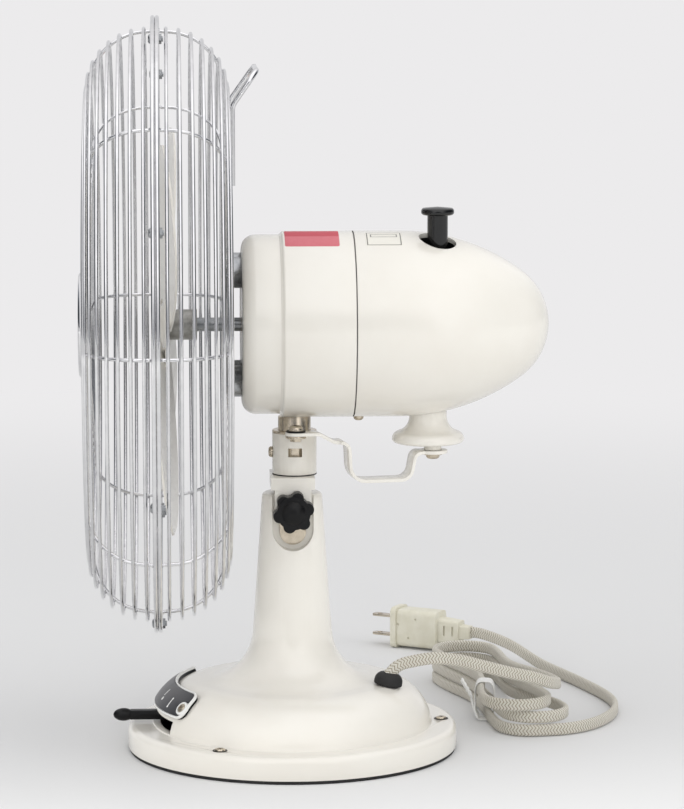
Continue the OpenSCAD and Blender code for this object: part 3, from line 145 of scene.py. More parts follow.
paint = add(tree, "ShaderNodeMix", {6: TABLE, 7: TABLE_PAINTED_LIGHT}, {0: painted_light_front}, data_type="RGBA").outputs[2]
matt = add(tree, "ShaderNodeBsdfDiffuse", {"Roughness": 0.3}, {"Color": paint}).outputs[0]
glow = add(tree, "ShaderNodeEmission", {"Color": SURROUND, "Strength": 1.0}).outputs[0]
blend = add(tree, "ShaderNodeMixShader", links={0: fade, 1: matt, 2: glow}).outputs[0]
add(tree, "ShaderNodeOutputMaterial", links={0: blend})
table.data.materials.append(table_white)

# Each lamp has a place, a target, a width in metres and a power in watts.
# Metal mirrors the room and not the lamps.
LAMPS = {
    "overhead_softbox": ((0.1, 0.1, 1.7), (0, 0, 0.1), 1.4, 4),
    "left_softbox": ((0.8, -1.7, 0.6), (0, 0, 0.15), 1.2, 8),
    "right_softbox": ((0.7, 1.7, 0.7), (0, 0, 0.2), 1.2, 4),
    "low_softbox": ((2.4, 0.3, 0.25), (0, 0.1, 0.25), 0.4, 6.2),
}
for name, (spot, target, width, power) in LAMPS.items():
    bpy.ops.object.light_add(type="AREA", location=spot)
    lamp = bpy.context.object
    lamp.name = name
    lamp.data.size = width
    lamp.data.energy = power
    lamp.visible_glossy = False
    lamp.rotation_euler = (Vector(target) - Vector(spot)).to_track_quat("-Z", "Y").to_euler()


# Base: one cast shell with flange, dome and column, stove-enamelled cream all over.
# A steel plate closes it from below, and a black rubber pad under the flange keeps it from sliding.
MM = 0.001


def per_mm(size):
    """Texture scale whose pattern repeats about once in a size in millimetres."""
    return 1000 / size


def finish(name, light, dark, patch, gloss, grain, relief, **sockets):
    """Material with mottled colour, uneven gloss and fine relief; patch, grain and relief in millimetres."""
    material = bpy.data.materials.new(name)
    material.use_nodes = True
    tree = material.node_tree
    shader = tree.nodes["Principled BSDF"]
    place = add(tree, "ShaderNodeTexCoord").outputs["Object"]
    cloud = add(tree, "ShaderNodeTexNoise", {"Scale": per_mm(patch), "Detail": 4.0, "Roughness": 0.6},
                {"Vector": place}).outputs[0]
    spread = add(tree, "ShaderNodeMapRange", {1: 0.32, 2: 0.68}, {0: cloud}).outputs[0]
    colour = add(tree, "ShaderNodeMix", {6: linear(light), 7: linear(dark)}, {0: spread}, data_type="RGBA")
    fine = add(tree, "ShaderNodeTexNoise", {"Scale": per_mm(grain), "Detail": 3.0},
               {"Vector": place}).outputs[0]
    both = add(tree, "ShaderNodeMix", {0: 0.45}, {2: cloud, 3: fine}).outputs[0]
    rough = add(tree, "ShaderNodeMapRange", {1: 0.3, 2: 0.7, 3: gloss[0], 4: gloss[1]}, {0: both}).outputs[0]
    bump = add(tree, "ShaderNodeBump", {"Strength": 1.0, "Distance": relief * MM}, {"Height": fine})
    tree.links.new(colour.outputs[2], shader.inputs["Base Color"])
    tree.links.new(rough, shader.inputs["Roughness"])
    tree.links.new(bump.outputs[0], shader.inputs["Normal"])
    for socket, value in sockets.items():
        shader.inputs[socket.replace("_", " ")].default_value = value
    return material


def wear(material, names):
    """Gives CAD nodes a material."""
    for name in names.split():
        nodes[name].data.materials.clear()
        nodes[name].data.materials.append(material)


def start(piece=None):
    """Goes back to object mode with nothing selected but the piece named."""
    if bpy.context.object and bpy.context.object.mode != "OBJECT":
        bpy.ops.object.mode_set(mode="OBJECT")
    bpy.ops.object.select_all(action="DESELECT")
    if piece:
        piece.select_set(True)
        bpy.context.view_layer.objects.active = piece


def change(piece, kind, **settings):
    """Adds a modifier with its settings and applies it."""
    start(piece)
    modifier = piece.modifiers.new(kind.lower(), kind)
    for name, value in settings.items():
        setattr(modifier, name, value)
    bpy.ops.object.modifier_apply(modifier=modifier.name)


def soften(piece, width, steps, angle):
    """Rounds the edges sharper than an angle in degrees by a width."""
    change(piece, "BEVEL", width=width, segments=steps, limit_method="ANGLE", angle_limit=math.radians(angle))


def shade(piece, angle):
    """Shades a piece smooth, apart from edges sharper than an angle in degrees."""
    start(piece)
    bpy.ops.object.shade_smooth_by_angle(angle=math.radians(angle))
    return piece


def settle(piece, name, material, body, slot, *stands_for):
    """Names a finished piece, gives it its material, hangs it on its body and hides the CAD nodes it stands
    for.
    """
    piece.name = name
    piece.data.name = name
    piece.data.materials.clear()
    piece.data.materials.append(material)
    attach(piece, body)
    if stands_for:
        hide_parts(*stands_for)
    return piece


def rounded(node, edge, angle=38, steps=2):
    """Copy of a CAD node with merged triangles, edges rounded by a width in millimetres and smooth shade."""
    piece = bpy.data.objects.new(node, nodes[node].data.copy())
    scene.collection.objects.link(piece)
    start(piece)
    bpy.ops.object.mode_set(mode="EDIT")
    bpy.ops.mesh.select_all(action="SELECT")
    bpy.ops.mesh.customdata_custom_splitnormals_clear()
    bpy.ops.mesh.remove_doubles(threshold=0.02 * MM)
    bpy.ops.mesh.dissolve_limited(angle_limit=math.radians(0.6))
    bpy.ops.mesh.normals_make_consistent(inside=False)
    start(piece)
    if edge:
        soften(piece, edge * MM, steps, angle)
    return shade(piece, angle)


# Stoved enamel: a thick glossy cream coat with a faint orange peel, a touch uneven over the width of a hand.
enamel = finish("stoved_cream_enamel", "#EDEAE2", "#E9E5DC", 60, (0.15, 0.24), 1.6, 0.012,
                Coat_Weight=0.35, Coat_Roughness=0.06)
settle(rounded("base_shell", 0.5), "cast_base", enamel, "base", "cream_paint", "base_shell")
# Moulded rubber: a dull black skin with a fine pebbled grain.
rubber = finish("moulded_black_rubber", "#1C1C1D", "#262525", 8, (0.62, 0.8), 0.35, 0.03)
settle(rounded("foot_pad", 0.5), "rubber_foot", rubber, "base", "rubber", "foot_pad")
# Zinc-plated steel: a cool grey with soft, blotchy reflections.
steel = finish("zinc_plated_steel", "#A9ABAD", "#94979A", 6, (0.22, 0.38), 0.3, 0.004, Metallic=1.0)
wear(steel, "base_plate clutch_spindle motor_shaft rotor_core stator rear_plate crank_shaft")


# Flange screws: three cross-recess pan heads through the flange into the base plate, each ringed by a flat
# dark ring that stands for the shadow in its recess (painted shade).
# All pan-head screws of the fan are made the same way: a turned head with a pressed cross and a plain shank.
def pick(piece, test):
    """Goes into edit mode with the faces chosen whose middle and outward direction pass a test."""
    start(piece)
    bpy.ops.object.mode_set(mode="EDIT")
    bpy.ops.mesh.select_mode(type="FACE")
    bpy.ops.mesh.select_all(action="DESELECT")
    bpy.ops.object.mode_set(mode="OBJECT")
    for face in piece.data.polygons:
        face.select = test(face.center, face.normal)
    bpy.ops.object.mode_set(mode="EDIT")


def block(size, middle, turn=0):
    """Box of a size about a middle point, turned about Z in degrees."""
    start()
    bpy.ops.mesh.primitive_cube_add(size=1, location=middle, rotation=(0, 0, math.radians(turn)), scale=size)
    bpy.ops.object.transform_apply(location=True, rotation=True, scale=True)
    return bpy.context.object


def drum(radius, low, high, sides=32, way="Z"):
    """Cylinder between two heights along an axis."""
    start()
    bpy.ops.mesh.primitive_cylinder_add(vertices=sides, radius=radius, depth=high - low,
                                        location=(0, 0, (low + high) / 2))
    bpy.ops.object.transform_apply(location=True, rotation=True, scale=True)
    if way == "Y":
        bpy.context.object.data.transform(Matrix.Rotation(math.radians(-90), 4, "X"))
    return bpy.context.object


def cut(piece, cutter):
    """Takes one shape out of another and deletes the cutter."""
    change(piece, "BOOLEAN", operation="DIFFERENCE", object=cutter, solver="EXACT")
    bpy.data.objects.remove(cutter)


def merged(pieces):
    """Joins pieces into the first of them."""
    start(pieces[0])
    for piece in pieces:
        piece.select_set(True)
    bpy.ops.object.join()
    return pieces[0]


def screw(head, rise, shank, reach):
    """Cross-recess pan-head screw in millimetres, its head standing on the XY plane, its shank below."""
    made = drum(head, 0, rise)
    pick(made, lambda middle, way: way.z > 0.9)
    bpy.ops.mesh.bevel(offset=rise * 0.72, segments=4, affect="EDGES")
    pick(made, lambda middle, way: way.z < -0.9)
    bpy.ops.mesh.inset(thickness=head - shank / 2)
    bpy.ops.mesh.extrude_region_move(TRANSFORM_OT_translate={"value": (0, 0, -reach)})
    for turn in (0, 90):
        cut(made, block((head * 1.15, head * 0.26, rise * 1.5), (0, 0, rise * 1.05), turn))
    return shade(made, 35)


def aim(at, way, spin=0):
    """Matrix that puts a model at a point in millimetres with its Z along a direction."""
    turned = Vector(way).to_track_quat("Z", "Y").to_matrix().to_4x4()
    return Matrix.Translation(Vector(at)) @ turned @ Matrix.Rotation(math.radians(spin), 4, "Z")


def copies(model, spots):
    """Copies a model in millimetres to each spot, in metres, joined into one piece; the model goes."""
    made = []
    for spot in spots:
        piece = bpy.data.objects.new("copy", model.data.copy())
        piece.data.transform(Matrix.Scale(MM, 4) @ spot)
        scene.collection.objects.link(piece)
        made.append(piece)
    bpy.data.objects.remove(model)
    return merged(made)


def polar(radius, angle, height):
    """Point at a radius and an angle in degrees about the Z axis."""
    return Vector((radius * math.cos(math.radians(angle)), radius * math.sin(math.radians(angle)), height))


# Browned steel: nearly black, with a low oily gleam; it also gives the painted shade of the dark rings round
# the flange screws.
dark_steel_and_painted_shade = finish("browned_steel_and_painted_shade", "#4A4640", "#35322E", 3, (0.3, 0.5), 0.3, 0.01, Metallic=1.0)
# Nickel plate: a warm bright mirror, a little clouded by handling.
nickel = finish("bright_nickel_plate", "#D6CBB9", "#C0B5A3", 7, (0.16, 0.3), 0.3, 0.003, Metallic=1.0)
FLANGE_TOP = 15.5
FLANGE_SCREW_R = 87.5
FLANGE_SHADE_RING_R = 4.2
spots = [aim(polar(FLANGE_SCREW_R, azimuth, FLANGE_TOP), (0, 0, 1), 20) for azimuth in (90, 210, 330)]
settle(copies(screw(3.1, 1.3, 4, 12), spots), "flange_fixings", nickel, "base", "nickel", "flange_screws")
# Painted shade: a flat dark ring round each flange screw head stands for the shadow in its recess.
ring = drum(FLANGE_SHADE_RING_R, -0.2, 0.4)
pick(ring, lambda middle, way: way.z > 0.9)
bpy.ops.mesh.bevel(offset=0.3, segments=3, affect="EDGES")
cut(ring, drum(2.9, -1, 1))
settle(copies(ring, spots), "flange_painted_shade_rings", dark_steel_and_painted_shade, "base", "nickel")


# Switch: a curved white surround on a black skirt over the dome, with a satin grey inlay, held by two screws.
# White prints mark its settings, and a black lever comes out of the slot below it.
CROWN_R = 53
DOME_Z = 12
SWITCH_AZ = 270
SWITCH_A = 45.5
SWITCH_RHO = 75.1
SWITCH_R = 31.6
SWITCH_SPAN = 36
SWITCH_RISE = 17.5
BOSS_SPAN = 33
BOSS_A = 40
BOSS_R = 4.2


def on_dome(azimuth, a, r):
    """Point over the dome from its azimuth, its angle on the dome's arc and distance from its centre."""
    return polar(CROWN_R + r * math.cos(math.radians(a)), azimuth, DOME_Z + r * math.sin(math.radians(a)))


def on_switch(x, y, h):
    """Point over the switch from millimetres along its length and height and over its surface."""
    azimuth = SWITCH_AZ + math.degrees(x / SWITCH_RHO)
    return on_dome(azimuth, SWITCH_A + math.degrees(y / SWITCH_R), SWITCH_R + h)


def round_box(half_x, half_y, corner, step=0.7):
    """Outline of a rectangle with rounded corners, anticlockwise, with a point every few tenths."""
    made = []
    for turn, mid in ((0, (1, 1)), (90, (-1, 1)), (180, (-1, -1)), (270, (1, -1))):
        centre = Vector((mid[0] * (half_x - corner), mid[1] * (half_y - corner)))
        for i in range(7):
            made.append(centre + polar(corner, turn + 15 * i, 0).xy)
    dense = []
    for a, b in zip(made, made[1:] + made[:1]):
        parts = max(1, round((b - a).length / step))
        dense += [a.lerp(b, i / parts) for i in range(parts)]
    return dense


def drawn_in(outline, depth):
    """Outline drawn in by a depth."""
    made = []
    for i, point in enumerate(outline):
        way = (outline[(i + 1) % len(outline)] - outline[i - 1]).normalized()
        made.append(point + Vector((-way.y, way.x)) * depth)
    return made


def built(mesh, angle):
    """Object from a closed mesh, with its faces turned outward and smooth up to an angle in degrees."""
    piece = bpy.data.objects.new(mesh.name, mesh)
    scene.collection.objects.link(piece)
    start(piece)
    bpy.ops.object.mode_set(mode="EDIT")
    bpy.ops.mesh.select_all(action="SELECT")
    bpy.ops.mesh.normals_make_consistent(inside=False)
    return shade(piece, angle)


def pad(outline, surface, profile, fills=6):
    """Closed pad on a surface: an outline stepped in and up through a profile, filled below and on top.

    Each step of the profile is a depth inwards and a height over the surface, in millimetres.
    """
    levels = [([p * (k / fills) for p in outline], profile[0][1]) for k in range(1, fills)]
    levels += [(drawn_in(outline, depth), height) for depth, height in profile]
    top, height = levels[-1]
    levels += [([p * (k / fills) for p in top], height) for k in range(fills - 1, 0, -1)]
    count = len(outline)
    points = [surface(0, 0, profile[0][1]) * MM]
    for ring, height in levels:
        points += [surface(p.x, p.y, height) * MM for p in ring]
    points.append(surface(0, 0, levels[-1][1]) * MM)
    faces = [(0, 1 + (j + 1) % count, 1 + j) for j in range(count)]
    for i in range(len(levels) - 1):
        for j in range(count):
            a = 1 + i * count + j
            b = 1 + i * count + (j + 1) % count
            faces.append((a, b, b + count, a + count))
    last = 1 + (len(levels) - 1) * count
    faces += [(last + j, last + (j + 1) % count, len(points) - 1) for j in range(count)]
    mesh = bpy.data.meshes.new("pad")
    mesh.from_pydata(points, [], faces)
    spots = [Vector((0, 0))] + [p for ring, height in levels for p in ring] + [Vector((0, 0))]
    layer = mesh.uv_layers.new(name="flat")
    for loop, place in zip(mesh.loops, layer.data):
        place.uv = spots[loop.vertex_index] * MM
    return built(mesh, 40)


# Moulded black plastic: deep black with a soft satin gleam.
black = finish("moulded_black_plastic", "#0C0C0D", "#131314", 10, (0.3, 0.45), 0.4, 0.012,
               Specular_IOR_Level=0.25)
# Moulded white trim: clean and cooler than the enamel, with a broad soft highlight.
white_trim = finish("moulded_white_trim", "#F0F0EE", "#E8E8E4", 10, (0.26, 0.38), 0.5, 0.006)
# Satin grey plate: a dark metallic paint that catches the light along its curve.
grey_plate = finish("satin_grey_plate", "#3E3E41", "#4B4B4E", 9, (0.28, 0.4), 0.4, 0.006, Metallic=0.35)
# Printed ink: a thin matt white with slightly broken cover.
white_ink = finish("printed_white_ink", "#F2F2F0", "#E2E2DE", 2, (0.4, 0.55), 0.2, 0.01)
BOSS_X = SWITCH_RHO * math.radians(BOSS_SPAN)
BOSS_Y = SWITCH_R * math.radians(BOSS_A - SWITCH_A)
surround = round_box(SWITCH_RHO * math.radians(SWITCH_SPAN), SWITCH_R * math.radians(SWITCH_RISE), 6)
bezel = pad(surround, on_switch, [(0, -0.9), (0, 0.3), (0.2, 0.65), (0.6, 0.8), (1.0, 0.65), (1.2, 0.3),
                                  (1.3, -0.1)])
boss = drum(BOSS_R, -1, 1.1, 40)
pick(boss, lambda middle, way: way.z > 0.9)
bpy.ops.mesh.bevel(offset=0.5, segments=3, affect="EDGES")
pick(boss, lambda middle, way: way.z > 0.99)
bpy.ops.mesh.inset(thickness=0.75)
bpy.ops.mesh.extrude_region_move(TRANSFORM_OT_translate={"value": (0, 0, -0.5)})
shade(boss, 35)
boss_spots = []
for azimuth in (SWITCH_AZ - BOSS_SPAN, SWITCH_AZ + BOSS_SPAN):
    foot = on_dome(azimuth, BOSS_A, SWITCH_R)
    boss_spots.append((foot, on_dome(azimuth, BOSS_A, SWITCH_R + 1) - foot))
bosses = copies(boss, [aim(foot, way) for foot, way in boss_spots])
settle(merged([bezel, bosses]), "switch_surround", white_trim, "base", "white_trim", "switch_bezel")
skirt = pad(drawn_in(surround, 0.35), on_switch, [(0, -2.5), (0, -0.8)])
settle(skirt, "switch_skirt", black, "base", "black_plastic")
inlay = []
reach = BOSS_R + 0.15
for p in drawn_in(surround, 1.4):
    if abs(p.y - BOSS_Y) < reach:
        side = BOSS_X - math.sqrt(reach ** 2 - (p.y - BOSS_Y) ** 2)
        p = Vector((max(-side, min(side, p.x)), p.y))
    inlay.append(p)
cover_plate = pad(inlay, on_switch, [(0, 0.05), (0, 0.6), (0.15, 0.75), (0.5, 0.8)])
settle(cover_plate, "switch_inlay", grey_plate, "base", "grey_plate", "switch_plate")
spots = [aim(foot + way * 0.55, way, 25) for foot, way in boss_spots]
settle(copies(screw(2.7, 1.1, 2.6, 3), spots), "switch_fixings", nickel, "base", "nickel", "switch_screws")


def print_mark(turn, rise, half_x, half_y, corner):
    """Thin printed mark on the inlay, placed by degrees along the switch and up the dome's arc."""
    x = SWITCH_RHO * math.radians(turn)
    y = SWITCH_R * math.radians(rise)
    outline = round_box(half_x, half_y, corner, 0.3)
    return pad(outline, lambda u, v, h: on_switch(x + u, y + v, h), [(0, 0.72), (0, 0.83)], 3)


# Place in degrees along and up, half width, half height and corner of each mark, in millimetres
MARKS = (
    (21.9, -4.3, 0.42, 2.9, 0.4),
    (21.9, -9.3, 0.75, 0.6, 0.55),
    (21.9, 0.7, 0.75, 0.6, 0.55),
    (11.7, -5.1, 1.1, 1.1, 1.05),
    (10.6, 2.6, 0.42, 2.4, 0.4),
    (-21.9, -4.3, 0.42, 2.9, 0.4),
)
marks = [print_mark(*mark) for mark in MARKS]
settle(merged(marks), "switch_marks", white_ink, "base", "white_trim")
settle(rounded("switch_lever", 0.5), "lever_arm", black, "lever", "black_plastic", "switch_lever")
wear(black, "switch_box")


# Cord: flat twin flex in a woven cotton braid, led out of a rubber gland, over the dome and into a tied hank.
# It stands on its edge, and its herringbone is off-white yarn with a thin beige thread.
settle(rounded("cord_gland", 0.3), "rubber_gland", rubber, "base", "rubber", "cord_gland")
CORD_W = 7.3
CORD_T = 3.7
CORD_LOW = 3.75
GLAND_TOP = Vector((19.29, 56.02, 47.45))
HANK_AT = Vector((-103, 129))
HANK_TURNED = math.radians(11)
HANK_RUN = 69
HANK_FOLD = 19
HANK_WAIST = 0.6
HANK_LAYER = 7.9
HANK_SHIFT = (0, -7, 4, 1)
HANK_FROM = 45
HANK_TURNS = 3
HANK_STATIONS = 64
PLUG_AT = Vector((-279.5, 94, 13.8))
PLUG_TURNED = math.radians(240)
PLUG_AHEAD = Vector((math.cos(PLUG_TURNED), math.sin(PLUG_TURNED), 0))
PLUG_END = PLUG_AT - PLUG_AHEAD * 38.5


def ease(t):
    """Smooth step from 0 to 1."""
    k = min(1, max(0, t))
    return k * k * (3 - 2 * k)


def hank_turn(phase):
    """Point of one turn of the hank, in its own axes."""
    if phase < 45:
        return Vector((HANK_RUN, 0)) + polar(HANK_FOLD, 2 * phase, 0).xy
    if phase < 135:
        u = HANK_RUN * (90 - phase) / 45
        side = HANK_WAIST + (1 - HANK_WAIST) * math.sin(math.pi / 2 * u / HANK_RUN) ** 2
        return Vector((u, HANK_FOLD * side))
    return -hank_turn(phase - 180)


def hank_point(a):
    """Point of the hank at an angle along its turns, top turn first."""
    p = hank_turn((a + 45) % 360 - 45)
    n = math.floor((a - HANK_FROM) / 360)
    v = p[1] + HANK_SHIFT[math.floor((a + 180) / 360) % len(HANK_SHIFT)] * ease(p[0] / HANK_RUN)
    level = HANK_TURNS - n - ease((a - HANK_FROM - 360 * n) / 90)
    return Vector((HANK_AT[0] + p[0] * math.cos(HANK_TURNED) - v * math.sin(HANK_TURNED),
                   HANK_AT[1] + p[0] * math.sin(HANK_TURNED) + v * math.cos(HANK_TURNED),
                   CORD_LOW + HANK_LAYER * level))


def smooth(points, steps):
    """Catmull-Rom curve through points, without the last one."""
    made = []
    for i in range(len(points) - 1):
        a, b = points[max(i - 1, 0)], points[i]
        c, d = points[i + 1], points[min(i + 2, len(points) - 1)]
        for j in range(steps):
            t = j / steps
            made.append(0.5 * (2 * b + (c - a) * t + (2 * a - 5 * b + 4 * c - d) * t ** 2
                               + (3 * b - 3 * c + d - a) * t ** 3))
    return made


def lengths(line):
    """Running length at each point of a line."""
    made = [0.0]
    for a, b in zip(line, line[1:]):
        made.append(made[-1] + (b - a).length)
    return made


def sweep(line, section, upright):
    """Tube with a section along a line, its second axis kept near upright, with its run and girth as UV."""
    count = len(section)
    along = lengths(line)
    around = lengths([Vector(p) for p in section + section[:1]])
    points = []
    for i, middle in enumerate(line):
        way = (line[min(i + 1, len(line) - 1)] - line[max(i - 1, 0)]).normalized()
        side = way.cross(upright).normalized()
        up = side.cross(way)
        points += [(middle + side * s + up * t) * MM for s, t in section]
    faces = []
    spots = []
    for i in range(len(line) - 1):
        for j in range(count):
            k = (j + 1) % count
            faces.append((i * count + j, i * count + k, (i + 1) * count + k, (i + 1) * count + j))
            spots += [(along[i], around[j]), (along[i], around[j + 1]),
                      (along[i + 1], around[j + 1]), (along[i + 1], around[j])]
    last = (len(line) - 1) * count
    faces.append(tuple(range(count - 1, -1, -1)))
    faces.append(tuple(range(last, last + count)))
    spots += [(0.0, 0.0)] * (2 * count)
    mesh = bpy.data.meshes.new("tube")
    mesh.from_pydata(points, [], faces)
    layer = mesh.uv_layers.new(name="run")
    for loop, (u, v) in zip(layer.data, spots):
        loop.uv = (u * MM, v * MM)
    return built(mesh, 50)


stations = round(HANK_STATIONS * (HANK_TURNS - HANK_FROM / 360))
hank = [hank_point(HANK_FROM + (360 * HANK_TURNS - HANK_FROM) * i / stations) for i in range(stations + 1)]
over_dome = [(16, 68, 53), (13, 82.5, 54.4), (7, 97.5, 51.6), (1, 112.5, 46.6), (-6, 129, 41),
             (-12, 142.5, 37), (-21, 153.5, 32)]
on_table = [(-21, 165, 0), (-33, 181, 0), (-53, 193.5, 0), (-78, 200.5, 0), (-108, 199, 0),
            (-152, 186.5, 0), (-200, 168, 1), (-234, 151, 7)]
out_of_gland = [GLAND_TOP - Vector((0, 0.6, 1.6)), GLAND_TOP + Vector((-1, 4.4, 3.4))]
into_plug = [PLUG_END - PLUG_AHEAD * 8, PLUG_END + PLUG_AHEAD * 3]
lead = smooth(out_of_gland + [Vector(p) for p in over_dome] + [hank[0]], 6)
tail = smooth([hank[-1]] + [Vector((x, y, CORD_LOW + z)) for x, y, z in on_table] + into_plug, 8)
cord_line = lead + hank + tail[1:] + into_plug[1:]
half_flat = (CORD_W - CORD_T) / 2
flat_section = []
for end in (1, -1):
    for i in range(7):
        p = polar(CORD_T / 2, 30 * i, 0)
        flat_section.append((end * p.x, end * (half_flat + p.y)))
cord = sweep(cord_line, flat_section, Vector((0, 0, 1)))
girth = lengths([Vector(p) for p in flat_section + flat_section[:1]])[-1]

# Woven cotton: dull and fuzzy; rows of slanted yarn turn back on each other, edged with beige thread.
YARN = 1.95
ROWS = 10
braid = bpy.data.materials.new("woven_cotton_braid")
braid.use_nodes = True
tree = braid.node_tree
shader = tree.nodes["Principled BSDF"]
uv = add(tree, "ShaderNodeUVMap", uv_map="run").outputs[0]
axes = add(tree, "ShaderNodeSeparateXYZ", links={0: uv}).outputs
row = add(tree, "ShaderNodeMath", {1: ROWS / (girth * MM)}, {0: axes["Y"]}, operation="MULTIPLY").outputs[0]
zig = add(tree, "ShaderNodeMath", {1: 1.0}, {0: row}, operation="PINGPONG").outputs[0]
run = add(tree, "ShaderNodeMath", {1: per_mm(YARN)}, {0: axes["X"]}, operation="MULTIPLY").outputs[0]
slant = add(tree, "ShaderNodeMath", {1: 0.75}, {0: zig, 2: run}, operation="MULTIPLY_ADD").outputs[0]
across = add(tree, "ShaderNodeMath", {1: 0.5}, {0: slant}, operation="PINGPONG").outputs[0]
thread = add(tree, "ShaderNodeMapRange", {1: 0.08, 2: 0.2, 3: 1.0, 4: 0.0}, {0: across},
             interpolation_type="SMOOTHSTEP").outputs[0]
place = add(tree, "ShaderNodeTexCoord").outputs["Object"]
fuzz = add(tree, "ShaderNodeTexNoise", {"Scale": per_mm(0.5), "Detail": 3.0}, {"Vector": place}).outputs[0]
soil = add(tree, "ShaderNodeTexNoise", {"Scale": per_mm(30), "Detail": 3.0}, {"Vector": place}).outputs[0]
yarn = add(tree, "ShaderNodeMix", {6: linear("#D9D6CC"), 7: linear("#CDC9BD")}, {0: soil},
           data_type="RGBA").outputs[2]
strand = add(tree, "ShaderNodeMix", {7: linear("#8F846F")}, {0: thread, 6: yarn}, data_type="RGBA").outputs[2]
tree.links.new(strand, shader.inputs["Base Color"])
shader.inputs["Roughness"].default_value = 0.85
shader.inputs["Sheen Weight"].default_value = 0.25
round_yarn = add(tree, "ShaderNodeMapRange", {1: 0.0, 2: 0.5, 3: 0.0, 4: 1.0}, {0: across}).outputs[0]
height = add(tree, "ShaderNodeMath", {1: 0.3}, {0: fuzz, 2: round_yarn}, operation="MULTIPLY_ADD").outputs[0]
bump = add(tree, "ShaderNodeBump", {"Strength": 1.0, "Distance": 0.3 * MM}, {"Height": height})
tree.links.new(bump.outputs[0], shader.inputs["Normal"])
settle(cord, "braided_cord", braid, "base", "braid", "cord_lead", "cord_hank", "cord_tail")


# Tie: a white plastic ribbon with a wire core, wound three times round the strands of the hank's near side.
# Its two ends are twisted together beside the strands.
TIE_AT = 292.5
TIE_PITCH = 4
TIE_TURNS = 3
TIE_STATIONS = 48
TIE_FROM = -60
TIE_SQUARE = 0.55
TIE_GAP = 0.75
TIE_END_R = 0.75
strands = [hank_point(TIE_AT + 360 * k) for k in range(HANK_TURNS)]
run_way = hank_point(TIE_AT + 2) - hank_point(TIE_AT - 2)
run_way.z = 0
run_way.normalize()
side_way = run_way.cross(Vector((0, 0, 1)))
middle = (strands[0] + strands[-1]) / 2
spread = max(abs((p - middle).dot(side_way)) for p in strands)
tie_top = strands[0].z + CORD_W / 2 + 0.7
tie_low = TIE_GAP
half_w = spread + CORD_T / 2 + TIE_GAP
half_h = (tie_top - tie_low) / 2
middle.z = (tie_top + tie_low) / 2
tie_line = []
for i in range(TIE_TURNS * TIE_STATIONS + 1):
    turn = math.radians(TIE_FROM + 360 / TIE_STATIONS * i)
    aside = math.copysign(abs(math.cos(turn)) ** TIE_SQUARE, math.cos(turn)) * half_w
    rise = math.copysign(abs(math.sin(turn)) ** TIE_SQUARE, math.sin(turn)) * half_h
    shift = TIE_PITCH * (i / TIE_STATIONS - TIE_TURNS / 2)
    tie_line.append(middle + side_way * aside + Vector((0, 0, rise)) + run_way * shift)
ribbon = [(-0.3, -1.6), (0.25, -1.6), (0.25, -0.7), (0.62, -0.3), (0.62, 0.3), (0.25, 0.7), (0.25, 1.6),
          (-0.3, 1.6)]
wraps = sweep(tie_line, ribbon, run_way)
wire = [polar(TIE_END_R, 45 * i, 0).xy[:] for i in range(8)]
out = middle + side_way * (half_w + 2.2) + Vector((0, 0, half_h * 0.15))
ends = []
for first, turned in ((tie_line[0], 0), (tie_line[-1], 180)):
    line = [first, first.lerp(out, 0.6) + side_way * 0.8]
    for i in range(25):
        curl = polar(1.0, turned + 30 * i, 0)
        line.append(out + side_way * (0.25 * i) + run_way * curl.x + Vector((0, 0, curl.y + 0.42 * i)))
    ends.append(sweep(smooth(line, 3), wire, run_way + Vector((0, 0, 0.01))))
# Coated tie: a smooth white plastic skin with a soft highlight.
tie_white = finish("white_coated_tie", "#EFEFED", "#E4E4E1", 4, (0.35, 0.48), 0.4, 0.01)
tie = settle(merged([wraps] + ends), "twist_tie", tie_white, "base", "tie", "cord_tie")


# Plug: a moulded ivory body with a lip, sink marks and a stepped strain relief, and two bright plated pins.
# It lies on its edge on the table, at the end of the cord.
def edges(piece, test, offset, steps):
    """Bevels the edges whose two ends pass a test."""
    start(piece)
    bpy.ops.object.mode_set(mode="EDIT")
    bpy.ops.mesh.select_mode(type="EDGE")
    bpy.ops.mesh.select_all(action="DESELECT")
    bpy.ops.object.mode_set(mode="OBJECT")
    spots = [v.co for v in piece.data.vertices]
    for edge in piece.data.edges:
        edge.select = test(spots[edge.vertices[0]], spots[edge.vertices[1]])
    bpy.ops.object.mode_set(mode="EDIT")
    bpy.ops.mesh.bevel(offset=offset, segments=steps, affect="EDGES")
    start(piece)


def step_out(scale, reach):
    """Steps the chosen end face to another size and draws it out along X."""
    bpy.ops.mesh.extrude_region_move(TRANSFORM_OT_translate={"value": (0, 0, 0)})
    bpy.ops.transform.resize(value=(1, scale[0], scale[1]))
    bpy.ops.mesh.extrude_region_move(TRANSFORM_OT_translate={"value": (reach, 0, 0)})


PLUG_L = 29
PLUG_T = 17
PLUG_H = 25
LIP_T = 19.4
LIP_H = 27.4
RELIEF_T = 11.6
RELIEF_H = 17
SINK_MARKS = ((-1.8, 7), (3.3, -6), (11, 2.7))
RELIEF_SLOTS = (-21.5, -27.5)
PIN_PITCH = 12.7
PIN_SIZE = (19, 6.3, 1.5)
PIN_MIDDLE = (24, 0, 0)
PIN_HOLE_X = 28.5
PIN_HOLE_R = 1.6
body = block((PLUG_L, PLUG_T, PLUG_H), (-2, 0, 0))
edges(body, lambda a, b: abs(a.x - b.x) > 20, 3.5, 4)
pick(body, lambda mid, way: way.x > 0.9)
step_out((LIP_T / PLUG_T, LIP_H / PLUG_H), 4)
pick(body, lambda mid, way: way.x < -0.9)
step_out((RELIEF_T / PLUG_T, RELIEF_H / PLUG_H), -15)
bpy.ops.transform.resize(value=(1, 0.9, 0.86))
step_out((0.76, 0.66), -7)
bpy.ops.transform.resize(value=(1, 0.85, 0.9))
soften(body, 0.6, 3, 40)
